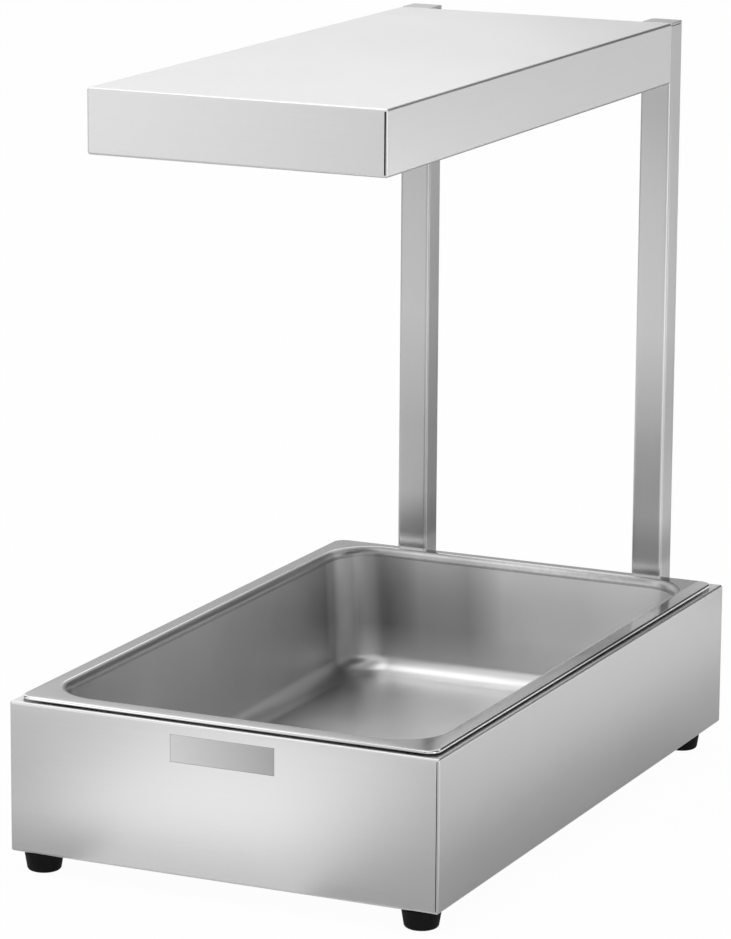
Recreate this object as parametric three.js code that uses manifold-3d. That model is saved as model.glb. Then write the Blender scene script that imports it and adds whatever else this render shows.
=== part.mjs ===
// Heat lamp food warmer: a base with a drop-in food pan, two rear posts and a lamp canopy.
// Millimetres, +Z up, front towards -Y, width along X, feet standing on Z = 0.
import * as THREE from 'three';
import { mergeVertices } from 'three/addons/utils/BufferGeometryUtils.js';
import Module from 'manifold-3d';

const wasm = await Module();
wasm.setup();

// Food pan
const panRimWidth = 325;
const panRimLength = 530;
const panDepth = 100;
const panSheet = 0.9;
const panRimLand = 11;
const panRimCorner = 14;
const panLipBend = 1.7;
const panEdgeRadius = 6;
const panCorner = 48;
const panWallTaper = 6.5;
const panFloorRadius = 16;
const panFloorCorner = 42;

// Base housing
const baseSheet = 1.2;
const rimSideMargin = 4.5;
const rimEndMargin = 6.5;
const rimRise = 3.5;
const underPanSpace = 14.5;
const baseBend = 2;
const baseCorner = 1.7;
const wellMargin = 3;
const returnWidth = 34;
const returnCorner = 8;
const baseSeam = 0.6;

// Posts
const postWidth = 25;
const postDepth = 23;
const postWall = 1.5;
const postCorner = 2.6;
const servingHeight = 391;

// Canopy
const canopyWidth = 228;
const canopyHeight = 47;
const canopySetback = 23;
const canopySheet = 1.2;
const canopyBend = 2;
const canopyCorner = 1.4;
const canopyReturn = 20;
const canopySeam = 1.2;

// Reflector
const reflectorSheet = 0.8;
const reflectorFlange = 7;
const reflectorHeight = 28;
const reflectorSideLean = 44;
const reflectorEndLean = 34;
const reflectorCorner = 3;

// Lamps
const lampSpacing = 64;
const lampDrop = 12.5;
const lampEndSpace = 34;
const quartzRadius = 6;
const quartzWall = 1.2;
const coilRadius = 2.4;
const ceramicRadius = 8.5;
const ceramicChamfer = 1;
const ceramicLength = 16;
const ceramicSocket = 10;
const ceramicTailRadius = 6.2;
const ceramicTail = 9;
const ceramicPinRadius = 1.5;
const ceramicPin = 5;

// Lamp brackets
const bracketSheet = 1.5;
const bracketMargin = 8;
const bracketLip = 3.5;
const bracketFlange = 12;
const bracketCorner = 5;
const bracketScrewSpacing = 26;
const bracketScrewRadius = 1.6;
const bracketScrewHead = 3.2;
const bracketScrewHeadHeight = 2.2;

// Wire guard
const guardFrameRadius = 1.6;
const guardWireRadius = 1.2;
const guardPitch = 34;
const guardCorner = 10;
const guardRunnerSpacing = 62;

// Feet
const footHeight = 15;
const footTopRadius = 13.4;
const footBottomRadius = 11.5;
const footEdge = 3;
const footRecessRadius = 5;
const footRecessDepth = 6;
const footSideInset = 19;
const footFrontInset = 14.8;
const footRearInset = 34;

// Foot screws and the weld nuts that they turn in
const footScrewRadius = 2.5;
const footScrewHead = 4.4;
const footScrewHeadHeight = 3;
const footNutWidth = 8;
const footNutHeight = 4;
const screwRunout = 2;

// Bottom cover
const coverSheet = 1;
const coverLap = 8;
const coverCorner = 9;
const coverScrewInset = 4;
const coverScrewRadius = 1.4;
const coverScrewHead = 2.6;
const coverScrewHeadHeight = 1.8;
const ventLength = 46;
const ventWidth = 5;
const ventPitch = 12;
const ventRows = 8;
const ventOffset = 58;

// Post bolts and weld nuts
const boltRadius = 2.5;
const boltHeadWidth = 8;
const boltHeadHeight = 3.5;
const boltGrip = 5;
const weldNutWidth = 10;
const weldNutHeight = 5;
const baseBoltInset = 24;
const canopyBoltRise = 8;
const canopyBoltDrop = 14;

// Post end caps
const capPlate = 2.2;
const capPlug = 6;

// Leads and grommets
const leadRadius = 2.4;
const leadBend = 14;
const lampLeadRadius = 1.2;
const lampLeadBend = 6;
const lampLeadHole = 2.2;
const lampLeadSlack = 60;
const grommetBore = 3.3;
const grommetNeck = 4.6;
const grommetFlange = 6.4;
const grommetFlangeHeight = 1.5;

// Terminal blocks
const terminalLength = 38;
const terminalWidth = 13;
const terminalHeight = 9;
const terminalPoles = 3;
const terminalScrewRadius = 2;
const terminalScrewDepth = 3;
const terminalFin = 1.4;
const terminalFinHeight = 3;
const terminalInset = 44;
const terminalSetback = 16;

// Rocker switch
const bezelWidth = 25;
const bezelHeight = 33;
const bezelDepth = 2.2;
const bezelCorner = 2;
const switchBodyWidth = 20.6;
const switchBodyHeight = 28.6;
const switchBodyDepth = 16;
const switchWellWidth = 16.4;
const switchWellHeight = 24.4;
const switchWellDepth = 9;
const rockerTilt = 9;
const rockerCrown = 0.6;
const rockerDip = 1.5;
const rockerSkirt = 0.6;
const rockerHub = 5;
const rockerHubDepth = 2.5;
const rockerPinRadius = 1.2;
const rockerPinLength = 1.2;
const switchOffset = 40;
const switchLift = 44;

// Cord gland
const glandRadius = 7.6;
const glandBore = 4;
const glandHexWidth = 19;
const glandHexHeight = 5;
const glandDomeRadius = 8.6;
const glandDomeTip = 6;
const glandDomeLength = 11;
const glandNutHeight = 4;
const glandRunout = 0.6;
const glandOffset = 34;
const glandLift = 34;

// Clearances and cutter overrun
const seatGap = 0.3;
const boreGap = 0.4;
const overrun = 5;
const weldDistance = 0.00001;

// Counts of facets
const panCornerSteps = 6;
const baseCornerSteps = 5;
const cornerSteps = 3;
const bendSteps = 3;
const filletSteps = 5;
const slotSteps = 2;
const roundSides = 20;
const smallSides = 12;
const screwSides = 8;
const hexSides = 6;
const leadSteps = 4;
const leadSides = 8;
const lampLeadSides = 6;
const wireSides = 6;

// Sizes that follow from the ones above
const baseWidth = panRimWidth + 2 * rimSideMargin;
const baseLength = panRimLength + 2 * rimEndMargin;
const baseHeight = panDepth - rimRise + underPanSpace;
const baseTop = footHeight + baseHeight;
const baseMiddle = baseLength / 2;
const rimTop = baseTop + rimRise;
const panBottom = rimTop - panDepth;
const wallInset = panRimLand + panEdgeRadius;
const footInset = wallInset + panWallTaper;
const wellInset = rimSideMargin + wallInset - panSheet - wellMargin;
const wellEndInset = rimEndMargin + wallInset - panSheet - wellMargin;
const canopyBottom = baseTop + servingHeight;
const canopyTop = canopyBottom + canopyHeight;
const canopyLength = baseLength - canopySetback;
const canopyMiddle = canopySetback + canopyLength / 2;
const postFront = baseLength + seatGap;
const postBack = postFront + postDepth;
const postMiddle = postFront + postDepth / 2;
const postOffset = (canopyWidth - postWidth) / 2;
const postBottom = footHeight + capPlate + seatGap;
const postTop = canopyTop - capPlate - seatGap;
const rearWallInside = baseLength - baseSheet;
const returnTop = footHeight + baseSheet;
const canopyReturnTop = canopyBottom + canopySheet;
const reflectorBottom = canopyReturnTop + seatGap;
const reflectorTop = reflectorBottom + reflectorHeight;
const reflectorCeiling = reflectorTop - reflectorSheet;
const reflectorHalfWidth = canopyWidth / 2 - canopySheet - seatGap;
const reflectorHalfLength = canopyLength / 2 - canopySheet - seatGap;
const lampHeight = reflectorCeiling - lampDrop;
const ceilingHalfLength = reflectorHalfLength - reflectorFlange - reflectorEndLean;
const ceramicMouth = ceilingHalfLength - lampEndSpace;
const bracketPlace = ceramicMouth + ceramicLength + seatGap;
const overallLength = postBack;
const rightAngle = Math.PI / 2;
const fullTurn = 2 * Math.PI;

// Solid modelling

// A closed solid from a geometry, with only its shared corner points kept
function solidOf(geometry) {
  const bare = geometry.index ? geometry.toNonIndexed() : geometry.clone();
  bare.deleteAttribute('normal');
  bare.deleteAttribute('uv');
  const merged = mergeVertices(bare, weldDistance);
  const whole = [];
  for (let start = 0; start < merged.index.count; start += 3) {
    const [a, b, c] = [0, 1, 2].map((offset) => merged.index.getX(start + offset));
    if (a !== b && b !== c && c !== a) whole.push(a, b, c);
  }
  const mesh = new wasm.Mesh({
    numProp: 3,
    vertProperties: merged.getAttribute('position').array,
    triVerts: new Uint32Array(whole),
  });
  return new wasm.Manifold(mesh);
}

function geometryOf(solid) {
  const mesh = solid.getMesh();
  const geometry = new THREE.BufferGeometry();
  geometry.setAttribute('position', new THREE.BufferAttribute(mesh.vertProperties, 3));
  geometry.setIndex(new THREE.BufferAttribute(mesh.triVerts, 1));
  geometry.computeVertexNormals();
  return geometry;
}

function cut(geometry, cutters) {
  const solid = cutters.reduce((rest, cutter) => rest.subtract(solidOf(cutter)), solidOf(geometry));
  return geometryOf(solid);
}

function join(geometries) {
  const [first, ...others] = geometries.map(solidOf);
  return geometryOf(others.reduce((whole, solid) => whole.add(solid), first));
}

// Points in order around a rectangle with round corners
function ring(halfWidth, halfLength, corner, height, steps) {
  const signs = [[1, 1], [-1, 1], [-1, -1], [1, -1]];
  return signs.flatMap(([sideX, sideY], quarter) => {
    const middleX = sideX * (halfWidth - corner);
    const middleY = sideY * (halfLength - corner);
    return Array.from({ length: steps + 1 }, (_, step) => {
      const angle = (quarter + step / steps) * rightAngle;
      return new THREE.Vector3(
        middleX + corner * Math.cos(angle), middleY + corner * Math.sin(angle), height);
    });
  });
}

// A skin through rings of points, with capped ends or run back into its first ring
function loft(rings, closed) {
  const count = rings[0].length;
  const points = rings.flat();
  const index = [];
  const bands = closed ? rings.length : rings.length - 1;
  for (let band = 0; band < bands; band += 1) {
    const lower = band * count;
    const upper = ((band + 1) % rings.length) * count;
    for (let side = 0; side < count; side += 1) {
      const next = (side + 1) % count;
      index.push(lower + side, lower + next, upper + next);
      index.push(lower + side, upper + next, upper + side);
    }
  }
  if (!closed) {
    const lastStart = (rings.length - 1) * count;
    points.push(middleOf(rings[0]), middleOf(rings[rings.length - 1]));
    const firstMiddle = points.length - 2;
    const lastMiddle = points.length - 1;
    for (let side = 0; side < count; side += 1) {
      const next = (side + 1) % count;
      index.push(firstMiddle, next, side);
      index.push(lastMiddle, lastStart + side, lastStart + next);
    }
  }
  const geometry = new THREE.BufferGeometry().setFromPoints(points);
  geometry.setIndex(index);
  return geometry;
}

function middleOf(points) {
  const sum = points.reduce((total, point) => total.add(point), new THREE.Vector3());
  return sum.divideScalar(points.length);
}

// A quarter bend in a profile of insets and levels, with what it does to the plan corner
function bend(inset, level, radius, from, to, steps, cornerAt) {
  return Array.from({ length: steps + 1 }, (_, step) => {
    const angle = from + (to - from) * step / steps;
    const place = inset + radius * Math.cos(angle);
    return { inset: place, level: level + radius * Math.sin(angle), corner: cornerAt(place) };
  });
}

function ringsOf(profile, halfWidth, halfLength, steps) {
  return profile.map(({ inset, level, corner }) => (
    ring(halfWidth - inset, halfLength - inset, corner, level, steps)));
}

// A round solid about an upright axis, from pairs of radius and height
function turned(pairs, sides) {
  const profile = pairs.map(([radius, height]) => new THREE.Vector2(radius, height));
  const geometry = new THREE.LatheGeometry(profile, sides);
  geometry.rotateX(rightAngle);
  return facingOut(geometry);
}

function turnedRing(pairs, sides) {
  return turned([...pairs, pairs[0]], sides);
}

function facingOut(geometry) {
  const loose = geometry.index ? geometry.toNonIndexed() : geometry;
  const position = loose.getAttribute('position');
  const corners = [new THREE.Vector3(), new THREE.Vector3(), new THREE.Vector3()];
  let volume = 0;
  for (let start = 0; start < position.count; start += 3) {
    corners.forEach((corner, offset) => corner.fromBufferAttribute(position, start + offset));
    volume += corners[0].dot(corners[1].clone().cross(corners[2]));
  }
  if (volume >= 0) return loose;
  const turnedRound = loose.clone();
  for (let start = 0; start < position.count; start += 3) {
    corners.forEach((corner, offset) => corner.fromBufferAttribute(position, start + offset));
    turnedRound.getAttribute('position').setXYZ(start + 1, ...corners[2].toArray());
    turnedRound.getAttribute('position').setXYZ(start + 2, ...corners[1].toArray());
  }
  return turnedRound;
}

function rod(radius, length, sides) {
  return turned([[0, 0], [radius, 0], [radius, length], [0, length]], sides);
}

function block(width, length, height) {
  return new THREE.BoxGeometry(width, length, height);
}

function roundedShape(width, height, corner, steps) {
  const points = ring(width / 2, height / 2, corner, 0, steps);
  return new THREE.Shape(points.map((point) => new THREE.Vector2(point.x, point.y)));
}

function circlePath(radius, x, y, sides) {
  const points = Array.from({ length: sides }, (_, side) => {
    const angle = side * fullTurn / sides;
    return new THREE.Vector2(x + radius * Math.cos(angle), y + radius * Math.sin(angle));
  });
  return new THREE.Path(points);
}

function plate(shape, thickness) {
  return new THREE.ExtrudeGeometry(shape, { depth: thickness, bevelEnabled: false, steps: 1 });
}

// A bar of equal flats, measured across them
function flatSided(acrossFlats, height, sides) {
  const radius = acrossFlats / 2 / Math.cos(Math.PI / sides);
  return plate(new THREE.Shape(circlePath(radius, 0, 0, sides).getPoints()), height);
}

function towardsBack(geometry) {
  return geometry.rotateX(-rightAngle);
}

// Food pan, deep drawn with a flat rim and a turned-down lip

function panProfile() {
  const edgeLevel = rimTop - panEdgeRadius;
  const floorLevel = panBottom + panSheet;
  const filletLevel = floorLevel + panFloorRadius;
  const filletInset = footInset + panFloorRadius;
  const lipLevel = baseTop + seatGap;
  const lipTurn = rimTop - panLipBend;
  const wallCorner = (inset) => panCorner + wallInset - inset;
  const floorCorner = (inset) => panFloorCorner + footInset - inset;
  const lipCorner = (inset) => panRimCorner - inset;
  const innerBend = panLipBend - panSheet;
  return [
    ...bend(filletInset, filletLevel, panFloorRadius + panSheet, -rightAngle, -2 * rightAngle,
      filletSteps, floorCorner),
    ...bend(panRimLand, edgeLevel, panEdgeRadius - panSheet, 0, rightAngle, filletSteps, wallCorner),
    ...bend(panLipBend, lipTurn, innerBend, rightAngle, 2 * rightAngle, bendSteps, lipCorner),
    { inset: panSheet, level: lipLevel, corner: lipCorner(panSheet) },
    { inset: 0, level: lipLevel, corner: lipCorner(0) },
    ...bend(panLipBend, lipTurn, panLipBend, 2 * rightAngle, rightAngle, bendSteps, lipCorner),
    ...bend(panRimLand, edgeLevel, panEdgeRadius, rightAngle, 0, filletSteps, wallCorner),
    ...bend(filletInset, filletLevel, panFloorRadius, -2 * rightAngle, -rightAngle,
      filletSteps, floorCorner),
  ];
}

function pan() {
  const rings = ringsOf(panProfile(), panRimWidth / 2, panRimLength / 2, panCornerSteps);
  return loft(rings, false);
}

// Folded housings: a profile that runs round the sheet, outside first

function foldOutside(level, radius, from, to, cornerAt) {
  return bend(radius, level, radius, from, to, bendSteps, cornerAt);
}

function baseRings() {
  const outer = (inset) => Math.max(baseCorner - inset, baseCorner / 4);
  const inner = baseBend - baseSheet;
  const profile = [
    { inset: returnWidth, level: footHeight, corner: returnCorner },
    ...foldOutside(footHeight + baseBend, baseBend, -rightAngle, -2 * rightAngle, outer),
    ...foldOutside(baseTop - baseBend, baseBend, 2 * rightAngle, rightAngle, outer),
  ];
  const back = [
    ...bend(baseBend, baseTop - baseBend, inner, rightAngle, 2 * rightAngle, bendSteps, outer),
    ...bend(baseBend, footHeight + baseBend, inner, 2 * rightAngle, 3 * rightAngle, bendSteps, outer),
    { inset: returnWidth, level: returnTop, corner: returnCorner },
  ];
  const halfWidth = baseWidth / 2;
  const halfLength = baseLength / 2;
  const wellCorner = panCorner + wellMargin;
  const well = (level) => (
    ring(halfWidth - wellInset, halfLength - wellEndInset, wellCorner, level, baseCornerSteps));
  return [
    ...ringsOf(profile, halfWidth, halfLength, baseCornerSteps),
    well(baseTop),
    well(baseTop - baseSheet),
    ...ringsOf(back, halfWidth, halfLength, baseCornerSteps),
  ];
}

// Narrow open seams where the end panels meet the side panels
function seams(halfWidth, halfLength, corner, seam, sheet, bottom, top) {
  const height = top - bottom;
  const place = halfWidth - corner - seam / 2;
  return [-halfLength, halfLength].flatMap((end) => [-place, place].map((x) => (
    block(seam, 2 * (sheet + overrun), height).translate(x, end, bottom + height / 2))));
}

function rearHole(radius, x, z) {
  const cutter = towardsBack(rod(radius, baseSheet + 2 * overrun, smallSides));
  return cutter.translate(x, baseMiddle - baseSheet - overrun, z);
}

function baseShell() {
  const halfLength = baseLength / 2;
  const switchHole = block(switchBodyWidth + 2 * seatGap, 2 * overrun, switchBodyHeight + 2 * seatGap);
  const low = footHeight + baseBend;
  const high = baseTop - baseBend;
  const nuts = footPlaces().map(([x, y]) => footNut(x, y - baseMiddle));
  return cut(join([loft(baseRings(), true), ...nuts]), [
    ...seams(baseWidth / 2, halfLength, baseCorner, baseSeam, baseSheet, low, high),
    ...postBoltPlaces().base.map(([x, z]) => rearHole(boltRadius + boreGap, x, z)),
    rearHole(grommetNeck + seatGap, postOffset, leadHoleHeight()),
    rearHole(glandRadius + seatGap, glandOffset, footHeight + glandLift),
    switchHole.translate(-switchOffset, halfLength, footHeight + switchLift),
    ...footPlaces().map(([x, y]) => upright(footScrewRadius + boreGap, x, y - baseMiddle)),
    ...coverScrewPlaces().map(([x, y]) => upright(coverScrewRadius + boreGap, x, y - baseMiddle)),
  ]);
}

// A weld nut on the base's return, let into the sheet so that both are one piece
function footNut(x, y) {
  const height = footNutHeight + baseSheet / 2;
  return flatSided(footNutWidth, height, hexSides).translate(x, y, returnTop - baseSheet / 2);
}

function upright(radius, x, y) {
  const cutter = rod(radius, baseSheet + footNutHeight + 2 * overrun, smallSides);
  return cutter.translate(x, y, footHeight - overrun);
}

function footPlaces() {
  const side = baseWidth / 2 - footSideInset;
  return [[-side, footFrontInset], [side, footFrontInset],
    [-side, baseLength - footRearInset], [side, baseLength - footRearInset]];
}

// Bottom cover, laid on the returns and slotted for air

function coverHalfWidth() {
  return baseWidth / 2 - returnWidth + coverLap;
}

function coverHalfLength() {
  return baseLength / 2 - returnWidth + coverLap;
}

function coverScrewPlaces() {
  const alongX = coverHalfWidth() - coverScrewInset;
  const alongY = coverHalfLength() / 2;
  return [[-alongX, baseMiddle - alongY], [alongX, baseMiddle - alongY],
    [-alongX, baseMiddle + alongY], [alongX, baseMiddle + alongY]];
}

function ventSlot(x, y) {
  const reach = (ventLength - ventWidth) / 2;
  const slot = new THREE.Path();
  slot.absarc(x + reach, y, ventWidth / 2, -rightAngle, rightAngle, false);
  slot.absarc(x - reach, y, ventWidth / 2, rightAngle, 3 * rightAngle, false);
  return new THREE.Path(slot.getPoints(slotSteps));
}

function bottomCover() {
  const shape = roundedShape(2 * coverHalfWidth(), 2 * coverHalfLength(), coverCorner, cornerSteps);
  for (let row = 0; row < ventRows; row += 1) {
    const y = (row - (ventRows - 1) / 2) * ventPitch;
    shape.holes.push(ventSlot(-ventOffset, y), ventSlot(ventOffset, y));
  }
  coverScrewPlaces().forEach(([x, y]) => {
    shape.holes.push(circlePath(coverScrewRadius + boreGap, x, y - baseMiddle, smallSides));
  });
  return plate(shape, coverSheet);
}

// Screws, nuts and bolts, standing on their heads with the shank upwards

function panHeadScrew(radius, length, head, headHeight) {
  const crown = headHeight / 3;
  return turned([
    [0, 0], [head - crown, 0], [head, crown], [head, headHeight],
    [radius, headHeight], [radius, headHeight + length], [0, headHeight + length],
  ], screwSides);
}

function footScrew() {
  const length = footHeight - footRecessDepth + baseSheet + footNutHeight + screwRunout;
  return panHeadScrew(footScrewRadius, length, footScrewHead, footScrewHeadHeight);
}

function coverScrew() {
  const length = baseSheet + coverSheet + 2 * seatGap + screwRunout;
  return panHeadScrew(coverScrewRadius, length, coverScrewHead, coverScrewHeadHeight);
}

function hexBolt() {
  const length = boltHeadHeight + boltGrip + weldNutHeight;
  return join([
    flatSided(boltHeadWidth, boltHeadHeight, hexSides),
    rod(boltRadius, length, smallSides),
  ]);
}

// Rubber foot, tapered, with a recess for its screw head

function foot() {
  const hole = footScrewRadius + boreGap;
  const edge = Array.from({ length: bendSteps + 1 }, (_, step) => {
    const angle = -rightAngle + rightAngle * step / bendSteps;
    return [
      footBottomRadius - footEdge + footEdge * Math.cos(angle), footEdge + footEdge * Math.sin(angle),
    ];
  });
  const top = footHeight - seatGap;
  return turnedRing([
    [hole, footRecessDepth], [footRecessRadius, footRecessDepth], [footRecessRadius, 0],
    ...edge, [footTopRadius, top], [hole, top],
  ], roundSides);
}

// Posts, square tube with weld nuts for the bolts

function postBoltPlaces() {
  const sides = [-postOffset, postOffset];
  const low = footHeight + baseBoltInset;
  const high = baseTop - baseBoltInset;
  const under = canopyBottom + canopyBoltRise;
  const over = canopyTop - canopyBoltDrop;
  return {
    base: sides.flatMap((x) => [[x, low], [x, high]]),
    canopy: sides.flatMap((x) => [[x, under], [x, over]]),
  };
}

function leadHoleHeight() {
  return footHeight + baseHeight / 2;
}

function leadCrossingHeight() {
  return (canopyBottom + canopyBoltRise + canopyTop - canopyBoltDrop) / 2;
}

function postTube() {
  const shape = roundedShape(postWidth, postDepth, postCorner, cornerSteps);
  const bore = roundedShape(
    postWidth - 2 * postWall, postDepth - 2 * postWall, postCorner - postWall, cornerSteps);
  shape.holes.push(new THREE.Path(bore.getPoints()));
  return plate(shape, postTop - postBottom);
}

function post(withLead) {
  const heights = [...postBoltPlaces().base, ...postBoltPlaces().canopy]
    .filter(([x]) => x > 0)
    .map(([, z]) => z - postBottom);
  const front = -postDepth / 2;
  const nuts = heights.map((z) => (
    block(weldNutWidth, weldNutHeight + postWall / 2, weldNutWidth)
      .translate(0, front + postWall / 2 + (weldNutHeight + postWall / 2) / 2, z)));
  const drills = heights.map((z) => (
    towardsBack(rod(boltRadius + boreGap, postWall + weldNutHeight + overrun, smallSides))
      .translate(0, front - overrun / 2, z)));
  const leadHoles = withLead ? [leadHoleHeight(), leadCrossingHeight()].map((z) => (
    towardsBack(rod(grommetNeck + seatGap, postWall + overrun, smallSides))
      .translate(0, front - overrun / 2, z - postBottom))) : [];
  return cut(join([postTube(), ...nuts]), [...drills, ...leadHoles]);
}

function postCap() {
  const plug = roundedShape(
    postWidth - 2 * postWall - 2 * seatGap, postDepth - 2 * postWall - 2 * seatGap,
    postCorner - postWall, cornerSteps);
  return join([
    plate(roundedShape(postWidth, postDepth, postCorner, cornerSteps), capPlate),
    plate(plug, capPlug + capPlate / 2).translate(0, 0, -capPlug),
  ]);
}

// Canopy, a folded cover open below with returns all round

function canopyShell() {
  const outer = (inset) => Math.max(canopyCorner - inset, canopyCorner / 4);
  const inner = canopyBend - canopySheet;
  const profile = [
    ...bend(canopyBend, canopyTop - canopyBend, inner, rightAngle, 2 * rightAngle, bendSteps, outer),
    ...bend(canopyBend, canopyBottom + canopyBend, inner, 2 * rightAngle, 3 * rightAngle,
      bendSteps, outer),
    { inset: canopyReturn, level: canopyReturnTop, corner: canopyCorner },
    { inset: canopyReturn, level: canopyBottom, corner: canopyCorner },
    ...foldOutside(canopyBottom + canopyBend, canopyBend, -rightAngle, -2 * rightAngle, outer),
    ...foldOutside(canopyTop - canopyBend, canopyBend, 2 * rightAngle, rightAngle, outer),
  ];
  const halfLength = canopyLength / 2;
  const shell = loft(ringsOf(profile, canopyWidth / 2, halfLength, cornerSteps), false);
  const rear = halfLength - canopySheet - overrun;
  const hole = (radius, x, z) => (
    towardsBack(rod(radius, canopySheet + 2 * overrun, smallSides)).translate(x, rear, z));
  return cut(shell, [
    ...seams(canopyWidth / 2, halfLength, canopyCorner, canopySeam, canopySheet,
      canopyBottom + canopyBend, canopyTop - canopyBend),
    ...postBoltPlaces().canopy.map(([x, z]) => hole(boltRadius + boreGap, x, z)),
    hole(grommetNeck + seatGap, postOffset, leadCrossingHeight()),
  ]);
}

// Reflector, a trough folded from bright sheet with leaning sides and ends

function reflectorRings() {
  const rise = reflectorHeight - reflectorSheet;
  const slope = (lean) => {
    const perLevel = lean / rise;
    const across = reflectorSheet * Math.hypot(lean, rise) / rise;
    return {
      foot: reflectorFlange,
      ceiling: reflectorFlange + lean,
      footOutside: reflectorFlange + perLevel * reflectorSheet - across,
      top: reflectorFlange + lean + perLevel * reflectorSheet - across,
    };
  };
  const side = slope(reflectorSideLean);
  const end = slope(reflectorEndLean);
  const at = (insetX, insetY, level) => ring(
    reflectorHalfWidth - insetX, reflectorHalfLength - insetY, reflectorCorner, level, cornerSteps);
  return [
    at(side.ceiling, end.ceiling, reflectorCeiling),
    at(side.foot, end.foot, reflectorBottom),
    at(0, 0, reflectorBottom),
    at(0, 0, reflectorBottom + reflectorSheet),
    at(side.footOutside, end.footOutside, reflectorBottom + reflectorSheet),
    at(side.top, end.top, reflectorTop),
  ];
}

function reflector() {
  const screws = bracketScrewPlaces().map(([x, y]) => (
    rod(bracketScrewRadius + boreGap, reflectorSheet + 2 * overrun, smallSides)
      .translate(x, y, reflectorTop - reflectorSheet - overrun)));
  const leads = [-1, 1].map((side) => (
    towardsBack(rod(lampLeadHole, 2 * reflectorHalfLength, smallSides))
      .translate(side * lampSpacing / 2, -reflectorHalfLength, lampHeight)));
  return cut(loft(reflectorRings(), false), [...screws, ...leads]);
}

// Quartz tube lamps with ceramic ends

function quartzTube() {
  const half = ceramicMouth + ceramicSocket - seatGap;
  return turnedRing([
    [quartzRadius, -half], [quartzRadius, half],
    [quartzRadius - quartzWall, half], [quartzRadius - quartzWall, -half],
  ], smallSides);
}

function coilRod() {
  const half = ceramicMouth + ceramicSocket - seatGap;
  return turned([[0, -half], [coilRadius, -half], [coilRadius, half], [0, half]], leadSides);
}

function ceramicEnd() {
  const chamfer = ceramicChamfer;
  const socket = quartzRadius + seatGap;
  const shoulder = ceramicLength;
  const tail = shoulder + ceramicTail;
  return turned([
    [0, ceramicSocket], [socket, ceramicSocket], [socket, 0],
    [ceramicRadius - chamfer, 0], [ceramicRadius, chamfer],
    [ceramicRadius, shoulder - chamfer], [ceramicRadius - chamfer, shoulder],
    [ceramicTailRadius, shoulder], [ceramicTailRadius, tail],
    [ceramicPinRadius, tail], [ceramicPinRadius, tail + ceramicPin], [0, tail + ceramicPin],
  ], smallSides);
}

// Lamp bracket, a folded plate hung from the reflector's ceiling

function bracketHalfWidth() {
  return lampSpacing / 2 + ceramicTailRadius + bracketMargin;
}

function bracketScrewPlaces() {
  const x = bracketScrewSpacing / 2;
  const y = bracketPlace + bracketScrewSetback();
  return [[-x, -y], [x, -y], [-x, y], [x, y]];
}

function bracketScrewSetback() {
  return (bracketFlange + bracketSheet) / 2;
}

function lampBracket() {
  const top = reflectorCeiling - seatGap - lampHeight;
  const bottom = -ceramicTailRadius - bracketLip;
  const half = bracketHalfWidth();
  const outline = new THREE.Shape();
  outline.moveTo(-half, top);
  outline.lineTo(-half, bottom + bracketCorner);
  outline.absarc(-half + bracketCorner, bottom + bracketCorner, bracketCorner,
    2 * rightAngle, 3 * rightAngle, false);
  outline.absarc(half - bracketCorner, bottom + bracketCorner, bracketCorner,
    -rightAngle, 0, false);
  outline.lineTo(half, top);
  const shape = new THREE.Shape(outline.getPoints(cornerSteps));
  [-1, 1].forEach((side) => {
    const hole = circlePath(ceramicTailRadius + seatGap, side * lampSpacing / 2, 0, smallSides);
    shape.holes.push(hole);
  });
  const web = plate(shape, bracketSheet).rotateX(rightAngle).translate(0, bracketSheet, 0);
  const flange = block(2 * half, bracketFlange, bracketSheet)
    .translate(0, bracketFlange / 2, top - bracketSheet / 2);
  const drills = [-1, 1].map((side) => (
    rod(bracketScrewRadius + boreGap, bracketSheet + 2 * overrun, smallSides)
      .translate(side * bracketScrewSpacing / 2, bracketScrewSetback(), top - bracketSheet - overrun)));
  return cut(join([web, flange]), drills);
}

function bracketScrew() {
  const length = bracketSheet + reflectorSheet + 2 * seatGap + screwRunout / 2;
  return panHeadScrew(bracketScrewRadius, length, bracketScrewHead, bracketScrewHeadHeight);
}

// Wire guard, a round-wire frame with cross wires and two runners

function guardHalfWidth() {
  return canopyWidth / 2 - canopyReturn + guardFrameRadius + seatGap;
}

function guardHalfLength() {
  return canopyLength / 2 - canopyReturn + guardFrameRadius + seatGap;
}

function guardWires() {
  const halfWidth = guardHalfWidth();
  const halfLength = guardHalfLength();
  const count = Math.floor(2 * halfLength / guardPitch) - 1;
  const cross = Array.from({ length: count }, (_, place) => (
    rod(guardWireRadius, 2 * halfWidth, wireSides)
      .rotateY(rightAngle)
      .translate(-halfWidth, (place - (count - 1) / 2) * guardPitch, 0)));
  const runners = [-1, 1].map((side) => (
    towardsBack(rod(guardWireRadius, 2 * halfLength, wireSides))
      .translate(side * guardRunnerSpacing / 2, -halfLength, 0)));
  return [...cross, ...runners];
}

function wireGuard() {
  const rings = Array.from({ length: wireSides }, (_, side) => {
    const angle = side * fullTurn / wireSides;
    const away = -guardFrameRadius * Math.cos(angle);
    return ring(guardHalfWidth() - away, guardHalfLength() - away, guardCorner - away,
      guardFrameRadius * Math.sin(angle), cornerSteps);
  });
  return join([facingOut(loft(rings, true)), ...guardWires()]);
}

// Terminal block, moulded with fins between its poles and a screw in each

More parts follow.
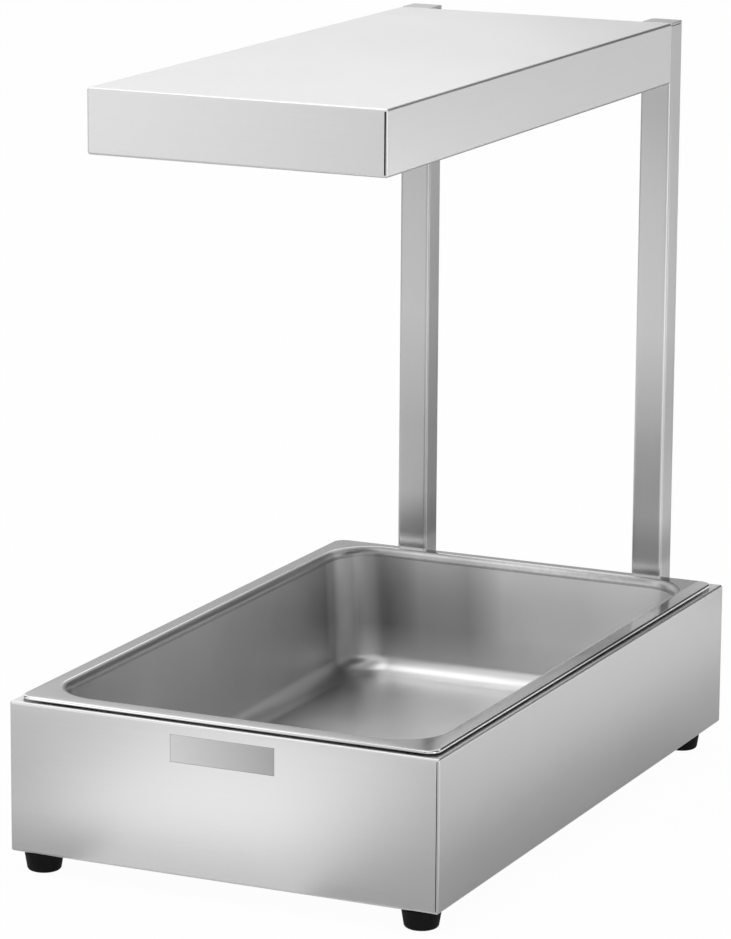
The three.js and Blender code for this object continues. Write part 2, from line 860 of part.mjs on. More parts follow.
function terminalBlock() {
  const pitch = terminalLength / terminalPoles;
  const fins = Array.from({ length: terminalPoles + 1 }, (_, place) => {
    const x = -terminalLength / 2 + place * (terminalLength - terminalFin) / terminalPoles;
    return block(terminalFin, terminalWidth, terminalHeight + terminalFinHeight)
      .translate(x + terminalFin / 2, 0, (terminalHeight + terminalFinHeight) / 2);
  });
  const screws = Array.from({ length: terminalPoles }, (_, place) => (
    rod(terminalScrewRadius, terminalScrewDepth + overrun, smallSides)
      .translate((place - (terminalPoles - 1) / 2) * pitch, 0, terminalHeight - terminalScrewDepth)));
  const body = block(terminalLength, terminalWidth, terminalHeight).translate(0, 0, terminalHeight / 2);
  return cut(join([body, ...fins]), screws);
}

function terminalPlaces() {
  return {
    base: [terminalInset, rearWallInside - terminalSetback, returnTop + seatGap],
    canopy: [reflectorHalfWidth - reflectorFlange - reflectorSideLean - terminalLength / 2,
      canopyMiddle + bracketPlace + bracketScrewSetback() - bracketScrewRadius - boreGap
        - terminalWidth / 2, reflectorTop + seatGap],
  };
}

// Leads, each a round rod along straight runs joined by rounded corners

// Where a lead passes and which way it heads there
function leadStops(corners, leg) {
  const bends = corners.slice(1, -1).flatMap((corner, place) => {
    const into = corner.clone().sub(corners[place]).setLength(leg);
    const out = corners[place + 2].clone().sub(corner).setLength(leg);
    const curve = new THREE.QuadraticBezierCurve3(
      corner.clone().sub(into), corner, corner.clone().add(out));
    return Array.from({ length: leadSteps + 1 }, (_, step) => (
      { place: curve.getPoint(step / leadSteps), way: curve.getTangent(step / leadSteps) }));
  });
  const first = { place: corners[0], way: bends[0].way };
  const last = { place: corners[corners.length - 1], way: bends[bends.length - 1].way };
  return [first, ...bends, last];
}

function leadAlong(corners, radius, leg, sides) {
  const stops = leadStops(corners, leg);
  const heading = stops[0].way;
  const side = new THREE.Vector3(heading.z, heading.x, heading.y).cross(heading).normalize();
  const rings = stops.map(({ place, way }, index) => {
    const before = stops[Math.max(index - 1, 0)].way;
    side.applyQuaternion(new THREE.Quaternion().setFromUnitVectors(before, way));
    const across = way.clone().cross(side);
    return Array.from({ length: sides }, (_, corner) => {
      const angle = corner * fullTurn / sides;
      return place.clone()
        .addScaledVector(side, radius * Math.cos(angle))
        .addScaledVector(across, radius * Math.sin(angle));
    });
  });
  return facingOut(loft(rings, false));
}

// The supply lead runs from the base terminals up inside the right post to the canopy terminals
function supplyLead() {
  const base = terminalPlaces().base;
  const canopy = terminalPlaces().canopy;
  const low = leadHoleHeight();
  const high = leadCrossingHeight();
  const startX = base[0] + terminalLength / 2 + seatGap;
  const startZ = base[2] + terminalHeight / 2;
  const endX = canopy[0] + terminalLength / 2 + seatGap;
  const endZ = canopy[2] + terminalHeight / 2;
  const x = postOffset;
  const rise = postBack - postWall - leadRadius - seatGap;
  const inside = rearWallInside - seatGap - grommetFlangeHeight - leadBend;
  const corners = [
    [startX, base[1], startZ],
    [x, base[1], startZ],
    [x, base[1], low],
    [x, rise, low],
    [x, rise, high],
    [x, inside, high],
    [x, canopy[1], endZ],
    [endX, canopy[1], endZ],
  ].map((corner) => new THREE.Vector3(...corner));
  return leadAlong(corners, leadRadius, leadBend, leadSides);
}

// A lamp lead leaves the ceramic's pin, goes out through the reflector's end and over its top
function lampLead(lampX, way, pole) {
  const terminal = terminalPlaces().canopy;
  const pinEnd = ceramicMouth + ceramicLength + ceramicTail + ceramicPin + seatGap;
  const rise = (ceilingHalfLength + reflectorHalfLength) / 2 + lampLeadBend;
  const alongTop = reflectorTop + seatGap + lampLeadRadius;
  const poleX = terminal[0] + (pole - (terminalPoles - 1) / 2) * terminalLength / terminalPoles;
  const poleZ = terminal[2] + terminalHeight / 2;
  const poleY = terminal[1] + way * (terminalWidth / 2 + seatGap);
  const outside = canopyMiddle + way * rise;
  const start = canopyMiddle + way * pinEnd;
  const low = [[lampX, start, lampHeight], [lampX, outside, lampHeight]];
  const rear = [
    [lampX, outside, poleZ],
    [poleX, poleY + 2 * lampLeadBend, poleZ],
    [poleX, poleY, poleZ],
  ];
  const front = [
    [lampX, outside, alongTop],
    [lampX, canopyMiddle - bracketPlace + lampLeadSlack, alongTop],
    [poleX, canopyMiddle - bracketPlace + 2 * lampLeadSlack, alongTop],
    [poleX, poleY - lampLeadSlack, alongTop],
    [poleX, poleY - 2 * lampLeadBend, poleZ],
    [poleX, poleY, poleZ],
  ];
  const corners = [...low, ...(way > 0 ? rear : front)].map((corner) => new THREE.Vector3(...corner));
  return leadAlong(corners, lampLeadRadius, lampLeadBend, lampLeadSides);
}

// Grommet with a flange at each end, filling the hole through two walls

function leadGrommet(walls) {
  const end = walls + 2 * seatGap;
  return turnedRing([
    [grommetBore, -grommetFlangeHeight], [grommetFlange, -grommetFlangeHeight], [grommetFlange, 0],
    [grommetNeck, 0], [grommetNeck, end], [grommetFlange, end],
    [grommetFlange, end + grommetFlangeHeight], [grommetBore, end + grommetFlangeHeight],
  ], smallSides);
}

// Rocker switch, its housing behind a bezel and the rocker on two pins

function rockerPivot() {
  return bezelDepth - switchWellDepth / 2;
}

function switchHousing() {
  const bezel = plate(roundedShape(bezelWidth, bezelHeight, bezelCorner, cornerSteps), bezelDepth);
  const body = block(switchBodyWidth, switchBodyHeight, switchBodyDepth + bezelDepth / 2)
    .translate(0, 0, (bezelDepth / 2 - switchBodyDepth) / 2);
  const well = block(switchWellWidth, switchWellHeight, switchWellDepth + overrun)
    .translate(0, 0, bezelDepth - switchWellDepth + (switchWellDepth + overrun) / 2);
  const pinHoles = rod(rockerPinRadius + seatGap, switchBodyWidth + 2 * overrun, smallSides)
    .rotateY(rightAngle)
    .translate(-switchBodyWidth / 2 - overrun, 0, rockerPivot());
  return cut(join([bezel, body]), [well, pinHoles]);
}

// The rocker's outline is drawn about its pivot and drawn out across the switch
function rocker() {
  const reach = switchWellHeight / 2 - 2 * seatGap;
  const crown = switchWellDepth / 2 + rockerCrown;
  const crownReach = Math.sqrt(reach * reach - crown * crown);
  const width = switchWellWidth - 2 * seatGap;
  const outline = new THREE.Shape();
  outline.moveTo(-reach, rockerSkirt);
  outline.lineTo(-rockerHub, -rockerHubDepth);
  outline.lineTo(rockerHub, -rockerHubDepth);
  outline.lineTo(reach, rockerSkirt);
  outline.lineTo(crownReach, crown);
  outline.quadraticCurveTo(0, crown - 2 * rockerDip, -crownReach, crown);
  const wedge = plate(new THREE.Shape(outline.getPoints(filletSteps)), width);
  wedge.applyMatrix4(new THREE.Matrix4().makeBasis(
    new THREE.Vector3(0, 1, 0), new THREE.Vector3(0, 0, 1), new THREE.Vector3(1, 0, 0)));
  wedge.translate(-width / 2, 0, 0);
  const pinLength = width + 2 * rockerPinLength;
  const pins = rod(rockerPinRadius, pinLength, smallSides)
    .rotateY(rightAngle)
    .translate(-pinLength / 2, 0, 0);
  return join([wedge, pins]).rotateX(-THREE.MathUtils.degToRad(rockerTilt));
}

// Cord gland, threaded through the rear wall with a nut inside

function cordGland() {
  const tail = baseSheet + glandNutHeight + 2 * seatGap + glandRunout;
  const dome = glandHexHeight + glandDomeLength;
  const round = turned([
    [0, -tail], [glandRadius, -tail], [glandRadius, glandHexHeight / 2],
    [glandDomeRadius, glandHexHeight / 2], [glandDomeRadius, glandHexHeight + glandDomeLength / 2],
    [glandDomeTip, dome], [0, dome],
  ], roundSides);
  const bore = rod(glandBore, tail + dome + 2 * overrun, smallSides).translate(0, 0, -tail - overrun);
  return cut(join([round, flatSided(glandHexWidth, glandHexHeight, hexSides)]), [bore]);
}

function glandNut() {
  const bore = rod(glandRadius + seatGap, glandNutHeight + 2 * overrun, roundSides);
  return cut(flatSided(glandHexWidth, glandNutHeight, hexSides), [bore.translate(0, 0, -overrun)]);
}

// Materials

function finish(colour, roughness, metalness) {
  return new THREE.MeshStandardMaterial({ color: colour, roughness, metalness });
}

const brushedSteel = () => finish(0xc9cacb, 0.34, 1);
const drawnSteel = () => finish(0xbfc0c0, 0.24, 1);
const brightSheet = () => finish(0xdcdcdc, 0.12, 1);
const zincSteel = () => finish(0x9fa3a6, 0.4, 1);
const blackRubber = () => finish(0x101010, 0.75, 0);
const blackPlastic = () => finish(0x151515, 0.45, 0);
const whiteCeramic = () => finish(0xe9e5da, 0.55, 0);
const quartz = () => finish(0xf2f2ee, 0.15, 0);
const coilWire = () => finish(0x6c6660, 0.5, 1);
const leadRubber = () => finish(0x8a3a22, 0.6, 0);

// Assembly, each piece a named mesh at its place

const warmer = new THREE.Group();
const frame = new THREE.Group();
frame.position.set(0, -overallLength / 2, 0);
warmer.add(frame);

function add(name, geometry, material, x = 0, y = 0, z = 0, turn = 0) {
  const mesh = new THREE.Mesh(geometryOf(solidOf(geometry)), material);
  mesh.name = name;
  mesh.position.set(x, y, z);
  mesh.rotation.z = turn;
  frame.add(mesh);
}

const sides = [['left', -1], ['right', 1]];
const ends = [['front', -1], ['rear', 1]];

function addBase() {
  add('base_shell', baseShell(), brushedSteel(), 0, baseMiddle);
  add('bottom_cover', bottomCover(), zincSteel(), 0, baseMiddle, returnTop + seatGap);
  add('food_pan', pan(), drawnSteel(), 0, baseMiddle);
  coverScrewPlaces().forEach(([x, y], index) => {
    const z = footHeight - seatGap - coverScrewHeadHeight;
    add(`cover_screw_${index + 1}`, coverScrew(), zincSteel(), x, y, z);
  });
  const names = ['front_left', 'front_right', 'rear_left', 'rear_right'];
  footPlaces().forEach(([x, y], index) => {
    const screwFoot = footRecessDepth - seatGap - footScrewHeadHeight;
    add(`foot_${names[index]}`, foot(), blackRubber(), x, y);
    add(`foot_screw_${names[index]}`, footScrew(), zincSteel(), x, y, screwFoot);
  });
}

function addPosts() {
  const boltPlace = rearWallInside - seatGap - boltHeadHeight;
  sides.forEach(([side, sign]) => {
    const x = sign * postOffset;
    add(`post_${side}`, post(sign > 0), brushedSteel(), x, postMiddle, postBottom);
    add(`post_top_cap_${side}`, postCap(), brushedSteel(), x, postMiddle, postTop + seatGap);
    add(`post_foot_cap_${side}`, postCap().rotateY(2 * rightAngle), blackPlastic(),
      x, postMiddle, postBottom - seatGap);
  });
  Object.entries(postBoltPlaces()).forEach(([group, places]) => {
    places.forEach(([x, z], index) => {
      add(`${group}_bolt_${index + 1}`, towardsBack(hexBolt()), zincSteel(), x, boltPlace, z);
    });
  });
}

function addCanopy() {
  add('canopy_shell', canopyShell(), brushedSteel(), 0, canopyMiddle);
  add('reflector', reflector(), brightSheet(), 0, canopyMiddle);
  const guardHeight = canopyReturnTop + seatGap + guardFrameRadius;
  add('wire_guard', wireGuard(), zincSteel(), 0, canopyMiddle, guardHeight);
  ends.forEach(([end, sign]) => {
    const turn = sign > 0 ? 0 : 2 * rightAngle;
    const y = canopyMiddle + sign * bracketPlace;
    add(`lamp_bracket_${end}`, lampBracket(), zincSteel(), 0, y, lampHeight, turn);
  });
  bracketScrewPlaces().forEach(([x, y], index) => {
    const z = reflectorCeiling - bracketSheet - 2 * seatGap - bracketScrewHeadHeight;
    add(`bracket_screw_${index + 1}`, bracketScrew(), zincSteel(), x, canopyMiddle + y, z);
  });
}

function addLamps() {
  sides.forEach(([side, sign]) => {
    const x = sign * lampSpacing / 2;
    add(`quartz_tube_${side}`, towardsBack(quartzTube()), quartz(), x, canopyMiddle, lampHeight);
    add(`heating_coil_${side}`, towardsBack(coilRod()), coilWire(), x, canopyMiddle, lampHeight);
    ends.forEach(([end, way]) => {
      const turn = way > 0 ? 0 : 2 * rightAngle;
      const y = canopyMiddle + way * ceramicMouth;
      add(`ceramic_${end}_${side}`, towardsBack(ceramicEnd()), whiteCeramic(), x, y, lampHeight, turn);
    });
  });
}

function addWiring() {
  const { base, canopy } = terminalPlaces();
  add('terminal_block_base', terminalBlock(), whiteCeramic(), ...base);
  add('terminal_block_canopy', terminalBlock(), whiteCeramic(), ...canopy);
  add('supply_lead', supplyLead(), leadRubber());
  sides.forEach(([side, sign], pole) => {
    ends.forEach(([end, way]) => {
      add(`lamp_lead_${end}_${side}`, lampLead(sign * lampSpacing / 2, way, pole), leadRubber());
    });
  });
  const place = rearWallInside - seatGap;
  const baseWalls = baseSheet + seatGap + postWall;
  const canopyWalls = canopySheet + seatGap + postWall;
  const canopyPlace = baseLength - canopySheet - seatGap;
  add('lead_grommet_base', towardsBack(leadGrommet(baseWalls)), blackRubber(),
    postOffset, place, leadHoleHeight());
  add('lead_grommet_canopy', towardsBack(leadGrommet(canopyWalls)), blackRubber(),
    postOffset, canopyPlace, leadCrossingHeight());
}

function addControls() {
  const face = baseLength + seatGap;
  const switchHeight = footHeight + switchLift;
  const glandHeight = footHeight + glandLift;
  const nutPlace = rearWallInside - seatGap - glandNutHeight;
  add('switch_housing', towardsBack(switchHousing()), blackPlastic(), -switchOffset, face, switchHeight);
  add('switch_rocker', towardsBack(rocker()), blackPlastic(),
    -switchOffset, face + rockerPivot(), switchHeight);
  add('cord_gland', towardsBack(cordGland()), blackPlastic(), glandOffset, face, glandHeight);
  add('gland_nut', towardsBack(glandNut()), blackPlastic(), glandOffset, nutPlace, glandHeight);
}

addBase();
addPosts();
addCanopy();
addLamps();
addWiring();
addControls();

export default warmer;
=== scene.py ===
# Heat lamp food warmer: the looks of every surface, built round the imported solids.
# Metres, +Z up, front towards -Y, feet standing on Z = 0.
import math

import bmesh
import bpy
from mathutils import Matrix, Vector


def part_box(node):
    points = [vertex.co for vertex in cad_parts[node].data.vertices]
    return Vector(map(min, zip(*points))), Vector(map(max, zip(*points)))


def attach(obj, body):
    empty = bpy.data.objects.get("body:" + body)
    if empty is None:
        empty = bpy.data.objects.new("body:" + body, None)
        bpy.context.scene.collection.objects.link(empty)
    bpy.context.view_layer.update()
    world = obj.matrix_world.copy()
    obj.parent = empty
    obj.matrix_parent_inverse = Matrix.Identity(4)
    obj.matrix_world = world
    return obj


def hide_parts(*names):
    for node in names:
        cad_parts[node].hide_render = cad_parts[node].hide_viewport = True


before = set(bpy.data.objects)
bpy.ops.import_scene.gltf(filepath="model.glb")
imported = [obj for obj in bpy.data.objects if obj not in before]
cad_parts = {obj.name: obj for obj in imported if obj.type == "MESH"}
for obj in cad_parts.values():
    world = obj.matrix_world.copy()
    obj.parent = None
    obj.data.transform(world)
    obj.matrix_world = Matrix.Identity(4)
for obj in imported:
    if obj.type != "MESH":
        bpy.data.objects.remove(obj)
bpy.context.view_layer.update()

mm = 0.001
quarter = math.pi / 2
full_turn = 2 * math.pi
front_way = -1
rear_way = 1

# How squarely a face looks one way before it counts as looking that way
side_facing = 0.7
end_facing = 0.99

# Photograph and the camera that took it
picture_height = 939
focal_pixels = 4570.57
camera_azimuth = math.radians(24.95)
camera_elevation = math.radians(12.688)
camera_roll = math.radians(0.397)
camera_distance = 3169.04 * mm
camera_aside = 100.99 * mm
camera_rise = 180.26 * mm
film_height = 36
nearest_seen = 0.05
farthest_seen = 100

# Whole object
overall_height = 564 * mm

# Base housing
base_sheet = 1.2 * mm
base_bend = 2 * mm
base_corner = 1.7 * mm
base_seam = 0.6 * mm
base_return = 34 * mm
return_corner = 8 * mm
least_corner_share = 0.25
well_side_inset = 17.6 * mm
well_end_inset = 19.6 * mm
well_corner = 38 * mm
well_collar = 1.75 * mm
switch_hole_width = 21.2 * mm
switch_hole_height = 29.2 * mm
gland_hole_radius = 7.9 * mm
gland_square_share = 1.4

# Badge plate
badge_width = 81 * mm
badge_offset = 1.5 * mm
badge_height = 20 * mm
badge_thickness = 1.2 * mm
badge_corner = 0.6 * mm
badge_edge = 0.15 * mm
badge_clearance = 0.1 * mm
badge_drop = 8.2 * mm

# Canopy
canopy_sheet = 1.2 * mm
canopy_bend = 2 * mm
canopy_corner = 1.4 * mm
canopy_seam = 1.2 * mm
canopy_return = 20 * mm

# Food pan
pan_sheet = 0.9 * mm
rim_land = 11 * mm
rim_corner = 10 * mm
rim_shift = 2.4 * mm
lip_bend = 1.7 * mm
lip_drop = 2.1 * mm
pan_edge = 6 * mm
pan_corner = 34 * mm
pan_taper = 6.5 * mm
pan_fillet = 16 * mm
pan_floor_corner = 34 * mm

# Reflector
reflector_sheet = 0.8 * mm
reflector_flange = 7 * mm
reflector_side_lean = 44 * mm
reflector_end_lean = 34 * mm
reflector_corner = 3 * mm

# Posts
post_wall = 1.5 * mm
post_corner = 2.6 * mm

# Feet
foot_top_radius = 14.4 * mm
foot_bottom_radius = 12.5 * mm
foot_edge = 3 * mm
foot_shoulder = 0.1 * mm
foot_top_edge = 0.8 * mm
foot_bore_radius = 2.9 * mm
foot_recess_radius = 5 * mm
foot_recess_depth = 6 * mm
foot_recess_edge = 0.6 * mm

# Lamps
quartz_wall = 1.2 * mm
quartz_edge = 0.3 * mm
coil_radius = 2.4 * mm
coil_wire_radius = 0.4 * mm
coil_turns = 128

# Wire guard
guard_frame_radius = 1.6 * mm
guard_wire_radius = 1.2 * mm
guard_pitch = 34 * mm
guard_runner_spacing = 62 * mm
guard_corner = 10 * mm

# Edges of the moulded and cut pieces, softened
cap_softening = 0.4 * mm
moulding_softening = 0.3 * mm
terminal_softening = 0.2 * mm

# Angles past which an edge stays sharp, in degrees
sheet_crease = 40
pan_crease = 50
badge_crease = 60
trough_crease = 25
lead_crease = 70

# Fineness
bend_steps = 5
corner_steps = 5
post_corner_steps = 7
pan_corner_steps = 16
guard_corner_steps = 8
fillet_steps = 12
foot_edge_steps = 6
round_steps = 48
wire_sides = 12
coil_wire_sides = 5
coil_steps = 12
hole_side_cuts = 7
bridging_space = 50 * mm

# Points nearer than this are joined, and faces that are this near to flat become one
spun_gap = 0.001 * mm
solid_gap = 0.005 * mm
coil_gap = 0.01 * mm
flat_angle = math.radians(0.5)

# Patches and strokes of the finishes to the metre, in each direction where they are drawn out
steel_fine_strokes = (20, 1600, 1600)
steel_coarse_strokes = (6, 420, 420)
steel_clouds = 9
plate_strokes = (60, 60, 1500)
plate_speckles = 1300
pan_fine_marks = 900
pan_marks = (26, 26, 5)
pan_mottles = 260
pan_clouds = 9
pan_smudges = (70, 24.5, 70)
zinc_spangles = 160
zinc_clouds = 24
aluminium_strokes = (900, 12, 900)
aluminium_clouds = 14
moulded_clouds = 60
glass_streaks = (40, 8, 40)
coil_oxides = 220
floor_clouds = 3

# Shades between which the finishes vary, for brushed steel as shares of its level
steel_shades = (0.93, 1.06)
plate_sheen_and_grain_shades = (0.64, 0.35)
pan_shades = (0.25, 0.96)
zinc_shades = (0.44, 0.6)
zinc_tint = (0.97, 1, 1.03)
aluminium_shades = (0.78, 0.86)
aluminium_tint = (1, 0.995, 0.98)
glass_shades = (0.9, 0.98)
quartz_index = 1.46
coil_dark = (0.16, 0.14, 0.12, 1)
coil_pale = (0.3, 0.27, 0.24, 1)
floor_shades = (0.9, 0.93)

# Light and shade painted up the posts from the floor: shares of the overall height and of the
# lightest
post_painted_shades = (
    (0, 0.9), (0.238, 0.94), (0.248, 0.7), (0.266, 0.7), (0.307, 0.93), (0.404, 0.86),
    (0.567, 0.97), (0.73, 0.85), (0.87, 0.73), (1, 0.77),
)

# Light and shade painted on the pan's walls across it, darkest on the left as if in shadow:
# millimetres from its middle, and a share of the lightest
wall_painted_shades = (
    (-160, 0.25), (-140, 0.25), (-135, 0.03), (-112, 0.08), (-95, 0.3), (-84, 0.5),
    (-65, 0.5), (-42, 0.4), (-12, 0.9), (20, 1), (76, 0.9), (160, 0.8),
)
wall_reach = 160 * mm
wall_wave = 8 * mm

# Where the pan's painted light and shade, its edge and its wear marks change: up it from its
# underside, across it, along it, and in noise
inside_top = 99.9 * mm
edge_bottom = 93 * mm
wall_rise = (10 * mm, 40 * mm)
wall_painted_lift = (20 * mm, 95 * mm)
floor_shadow_ramp = (-134 * mm, -98 * mm)
right_rim = 150 * mm
worn_strip = (148 * mm, 151 * mm, 153 * mm, 156 * mm)
corner_highlight_strip = (190 * mm, 200 * mm, 212 * mm, 224 * mm)
front_shade_ramp = (-110 * mm, -220 * mm)
middle_shade_strip = (-60 * mm, 10 * mm, 60 * mm, 130 * mm)
rear_light_ramp = (170 * mm, 240 * mm)
smudge_range = (0.45, 0.65)

# How light they are, and how much each painted light, painted shade, random cloud or wear mark
# gives or takes
floor_shadow_level = 0.25
floor_painted_light_gain = 0.43
painted_lift_gain = 0.16
corner_highlight_gain = 0.45
front_shade_loss = 0.22
cloud_gain = 0.2
edge_painted_shade = 0.75
edge_mottle = 0.3
rim_level = 0.5
rim_cloud = 0.12
rim_painted_shade_per_metre = 1.06
rear_painted_light = 0.4
middle_painted_shade = 0.3
worn_loss = 0.25

# How rough the pan's rim is, how much rougher it is inside, and the rim's share of the relief
rim_roughness = 0.12
inside_roughness = 0.15
rim_relief = 0.15

# Floor and daylight of the studio
floor_reach = 12
floor_seen = 0.965
floor_mirrored = 0.3
daylight = 0.75
lying_card_level = 2 * mm
lying_lamp_level = 4 * mm

# Lamps of the studio: place, what each looks at, width, height and radiance
lamps = (
    ("key lamp", (-0.95, -1.7, 0.45), (0, -0.3, 0.1), 0.5, 0.8, 0.6),
    ("low lamp", (-0.10, -0.55, lying_lamp_level), (-0.10, -0.55, 1), 0.2, 0.3, 0.55),
    ("edge lamp", (1.5, -0.75, 0.4), (0.1, 0, 0.3), 0.5, 0.8, 2.0),
    ("top lamp", (-0.6, -0.4, 2.4), (0, 0, 0.2), 1.6, 1.6, 1.0),
    ("back lamp", (-0.9, 2.4, 1.85), (0, 0, 0.4), 2.6, 1.5, 0.5),
    ("right floor lamp", (1.37, 1.85, lying_lamp_level), (1.37, 1.85, 1), 0.6, 0.9, 2.6),
)

# Cards that stand: place, what each looks at, its two sides and grey level
standing_cards = (
    ("back card", (0.875, 2.6, 1.35), (0.875, 0, 1.35), 2.65, 1.6, 0.1),
    ("left card", (-2, -0.2, 0.375), (0, -0.2, 0.375), 0.75, 2.8, 0.15),
    ("front card", (-0.15, -2.5, 0.7), (-0.15, 0, 0.7), 0.9, 0.8, 0.2),
    ("high back card", (-0.7, 2.62, 1.3), (-0.7, 0, 1.3), 0.5, 0.3, 0.7),
    ("low back card", (-1.1, 2.62, 0.7), (-1.1, 0, 0.7), 1.5, 0.84, 0.55),
    ("right card", (2.2, -0.3, 1.5), (0, -0.3, 0.1), 2.6, 2.0, 0.1),
)

# Cards that lie on the floor: place across and along, width, length and grey level. The front floor
# and side floor cards beside the base are painted shadow: grey sheets where the floor beside the
# base would lie in its shadow, as its steel mirrors it
lying_cards = (
    ("near rear card", -0.235, 0.96, 1.13, 0.59, 0.13),
    ("middle rear card", 0.07, 1.62, 1.3, 0.73, 0.13),
    ("far rear card", 0.24, 2.4, 1.68, 0.83, 0.12),
    ("front floor shadow card", 0.235, -0.52, 0.37, 0.44, 0.55),
    ("far front card", -0.02, -0.7, 0.2, 0.16, 0.3),
    ("left floor card", -0.38, -0.52, 0.26, 0.36, 0.6),
    ("left edge card", -0.33, -0.335, 0.4, 0.1, 0.55),
    ("side floor shadow card", 0.22, 0.15, 0.1, 0.9, 0.58),
)


# Shaders: a socket that takes part in sums, and a finish that is built from nodes

class Value:
    """One output of a shader node. Sums on it add Math nodes."""

    def __init__(self, finish, socket):
        self.finish = finish
        self.socket = socket

    def worked(self, operation, *operands):
        inputs = dict(enumerate(operands))
        return self.finish.add("ShaderNodeMath", {"operation": operation}, inputs)

    def __add__(self, other):
        return self.worked("ADD", self, other)

    def __sub__(self, other):
        return self.worked("SUBTRACT", self, other)

    def __rsub__(self, other):
        return self.worked("SUBTRACT", other, self)

    def __mul__(self, other):
        return self.worked("MULTIPLY", self, other)

    def __abs__(self):
        return self.worked("ABSOLUTE", self)

    def __gt__(self, other):
        return self.worked("GREATER_THAN", self, other)

    def __lt__(self, other):
        return self.worked("LESS_THAN", self, other)

    __radd__ = __add__
    __rmul__ = __mul__

    def mixed(self, other, share):
        """This with a share of another mixed in."""
        return self * (1 - share) + other * share

    def between(self, start, full):
        """Zero at the start and before it, one where it is full and past that, even between."""
        inputs = {"Value": self, "From Min": start, "From Max": full}
        return self.finish.add("ShaderNodeMapRange", {"clamp": True}, inputs)

    def strip(self, start, full, fading, end):
        """One from where it is full to where it fades, and zero outside the start and the end."""
        return self.between(start, full) * self.between(end, fading)


class Finish:
    """A node tree, filled through one method."""

    def __init__(self, tree):
        self.tree = tree

    def add(self, kind, settings=None, inputs=None, output=0):
        node = self.tree.nodes.new(kind)
        for name, value in (settings or {}).items():
            if name == "stops":
                self.set_stops(node.color_ramp, value)
            else:
                setattr(node, name, value)
        self.feed(node, inputs or {})
        return Value(self, node.outputs[output])

    def feed(self, node, inputs):
        for name, value in inputs.items():
            if isinstance(value, Value):
                self.tree.links.new(value.socket, node.inputs[name])
            else:
                node.inputs[name].default_value = value

    def set_stops(self, ramp, stops):
        while len(ramp.elements) < len(stops):
            ramp.elements.new(1)
        for element, (place, level) in zip(ramp.elements, stops):
            element.position = place
            element.color = grey(level)

    def position(self):
        return self.add("ShaderNodeTexCoord", output="Object")

    def noise(self, place, scale, detail=2, roughness=0.5):
        """Soft patches, so many to the metre."""
        settings = {"noise_dimensions": "3D"}
        inputs = {"Vector": place, "Scale": scale, "Detail": detail, "Roughness": roughness}
        return self.add("ShaderNodeTexNoise", settings, inputs)

    def streaks(self, place, scales, detail=2, roughness=0.5):
        """Noise that is drawn out: so many patches to the metre in each direction."""
        inputs = {"Vector": place, "Scale": scales}
        drawn = self.add("ShaderNodeMapping", {"vector_type": "POINT"}, inputs)
        return self.noise(drawn, 1, detail, roughness)

    def split(self, vector):
        node = self.tree.nodes.new("ShaderNodeSeparateXYZ")
        self.feed(node, {0: vector})
        return [Value(self, socket) for socket in node.outputs]

    def joined(self, x, y, z):
        return self.add("ShaderNodeCombineXYZ", None, {0: x, 1: y, 2: z})

    def blend(self, factor, first, second, how="MIX"):
        settings = {"data_type": "RGBA", "blend_type": how}
        inputs = {"Factor": factor, 6: first, 7: second}
        return self.add("ShaderNodeMix", settings, inputs, output=2)

    def shaded(self, factor, shades, tint=(1, 1, 1)):
        """A colour that goes from the first shade to the second."""
        first, second = shades
        return self.blend(factor, grey(first, tint), grey(second, tint))

    def ramp(self, factor, stops):
        return self.add("ShaderNodeValToRGB", {"stops": stops}, {"Fac": factor})

    def bump(self, height, strength, distance):
        inputs = {"Height": height, "Strength": strength, "Distance": distance}
        return self.add("ShaderNodeBump", None, inputs)


def grey(level, tint=(1, 1, 1)):
    return (level * tint[0], level * tint[1], level * tint[2], 1)


def new_finish(name):
    material = bpy.data.materials.new(name)
    material.use_nodes = True
    finish = Finish(material.node_tree)
    return material, finish, material.node_tree.nodes["Principled BSDF"]


def grain_place(finish, upright):
    """Positions whose first part runs along the grain and whose other two run across it."""
    x, y, z = finish.split(finish.position())
    if upright:
        return finish.joined(z, x, y)
    normal = finish.add("ShaderNodeTexCoord", output="Normal")
    side = abs(finish.split(normal)[0]) > side_facing
    along = x + side * (y - x)
    across = y + side * (x - y)
    return finish.joined(along, z, across)


def varied(middle, *parts):
    """A middle value, varied by parts of noise, each of which has so much sway in all."""
    total = middle - sum(sway for part, sway in parts) / 2
    for part, sway in parts:
        total = part * sway + total
    return total


def brushed_steel(name, upright=False, level=0.68, roughness=0.33, height_painted_shades=((0, 1), (1, 1))):
    """Brushed sheet. Its height painted shades are light and shade painted on it from the floor up
    to the top of the object.
    """
    material, finish, shader = new_finish(name)
    place = grain_place(finish, upright)
    fine = finish.streaks(place, steel_fine_strokes, detail=3, roughness=0.6)
    coarse = finish.streaks(place, steel_coarse_strokes)
    cloud = finish.noise(finish.position(), steel_clouds, detail=3)
    grain = fine.mixed(coarse, 0.4)
    sheet = finish.shaded(grain.mixed(cloud, 0.3), [level * shade for shade in steel_shades])
    lift = finish.split(finish.position())[2].between(0, overall_height)
    finish.feed(shader, {
        # The ramp up the object's height multiplies painted light and shade into the colour
        "Base Color": finish.blend(1, sheet, finish.ramp(lift, height_painted_shades), "MULTIPLY"),
        "Metallic": 1,
        "Roughness": varied(roughness, (grain, 0.1), (cloud, 0.06)),
        "Normal": finish.bump(grain, strength=0.5, distance=0.1 * mm),
    })
    return material


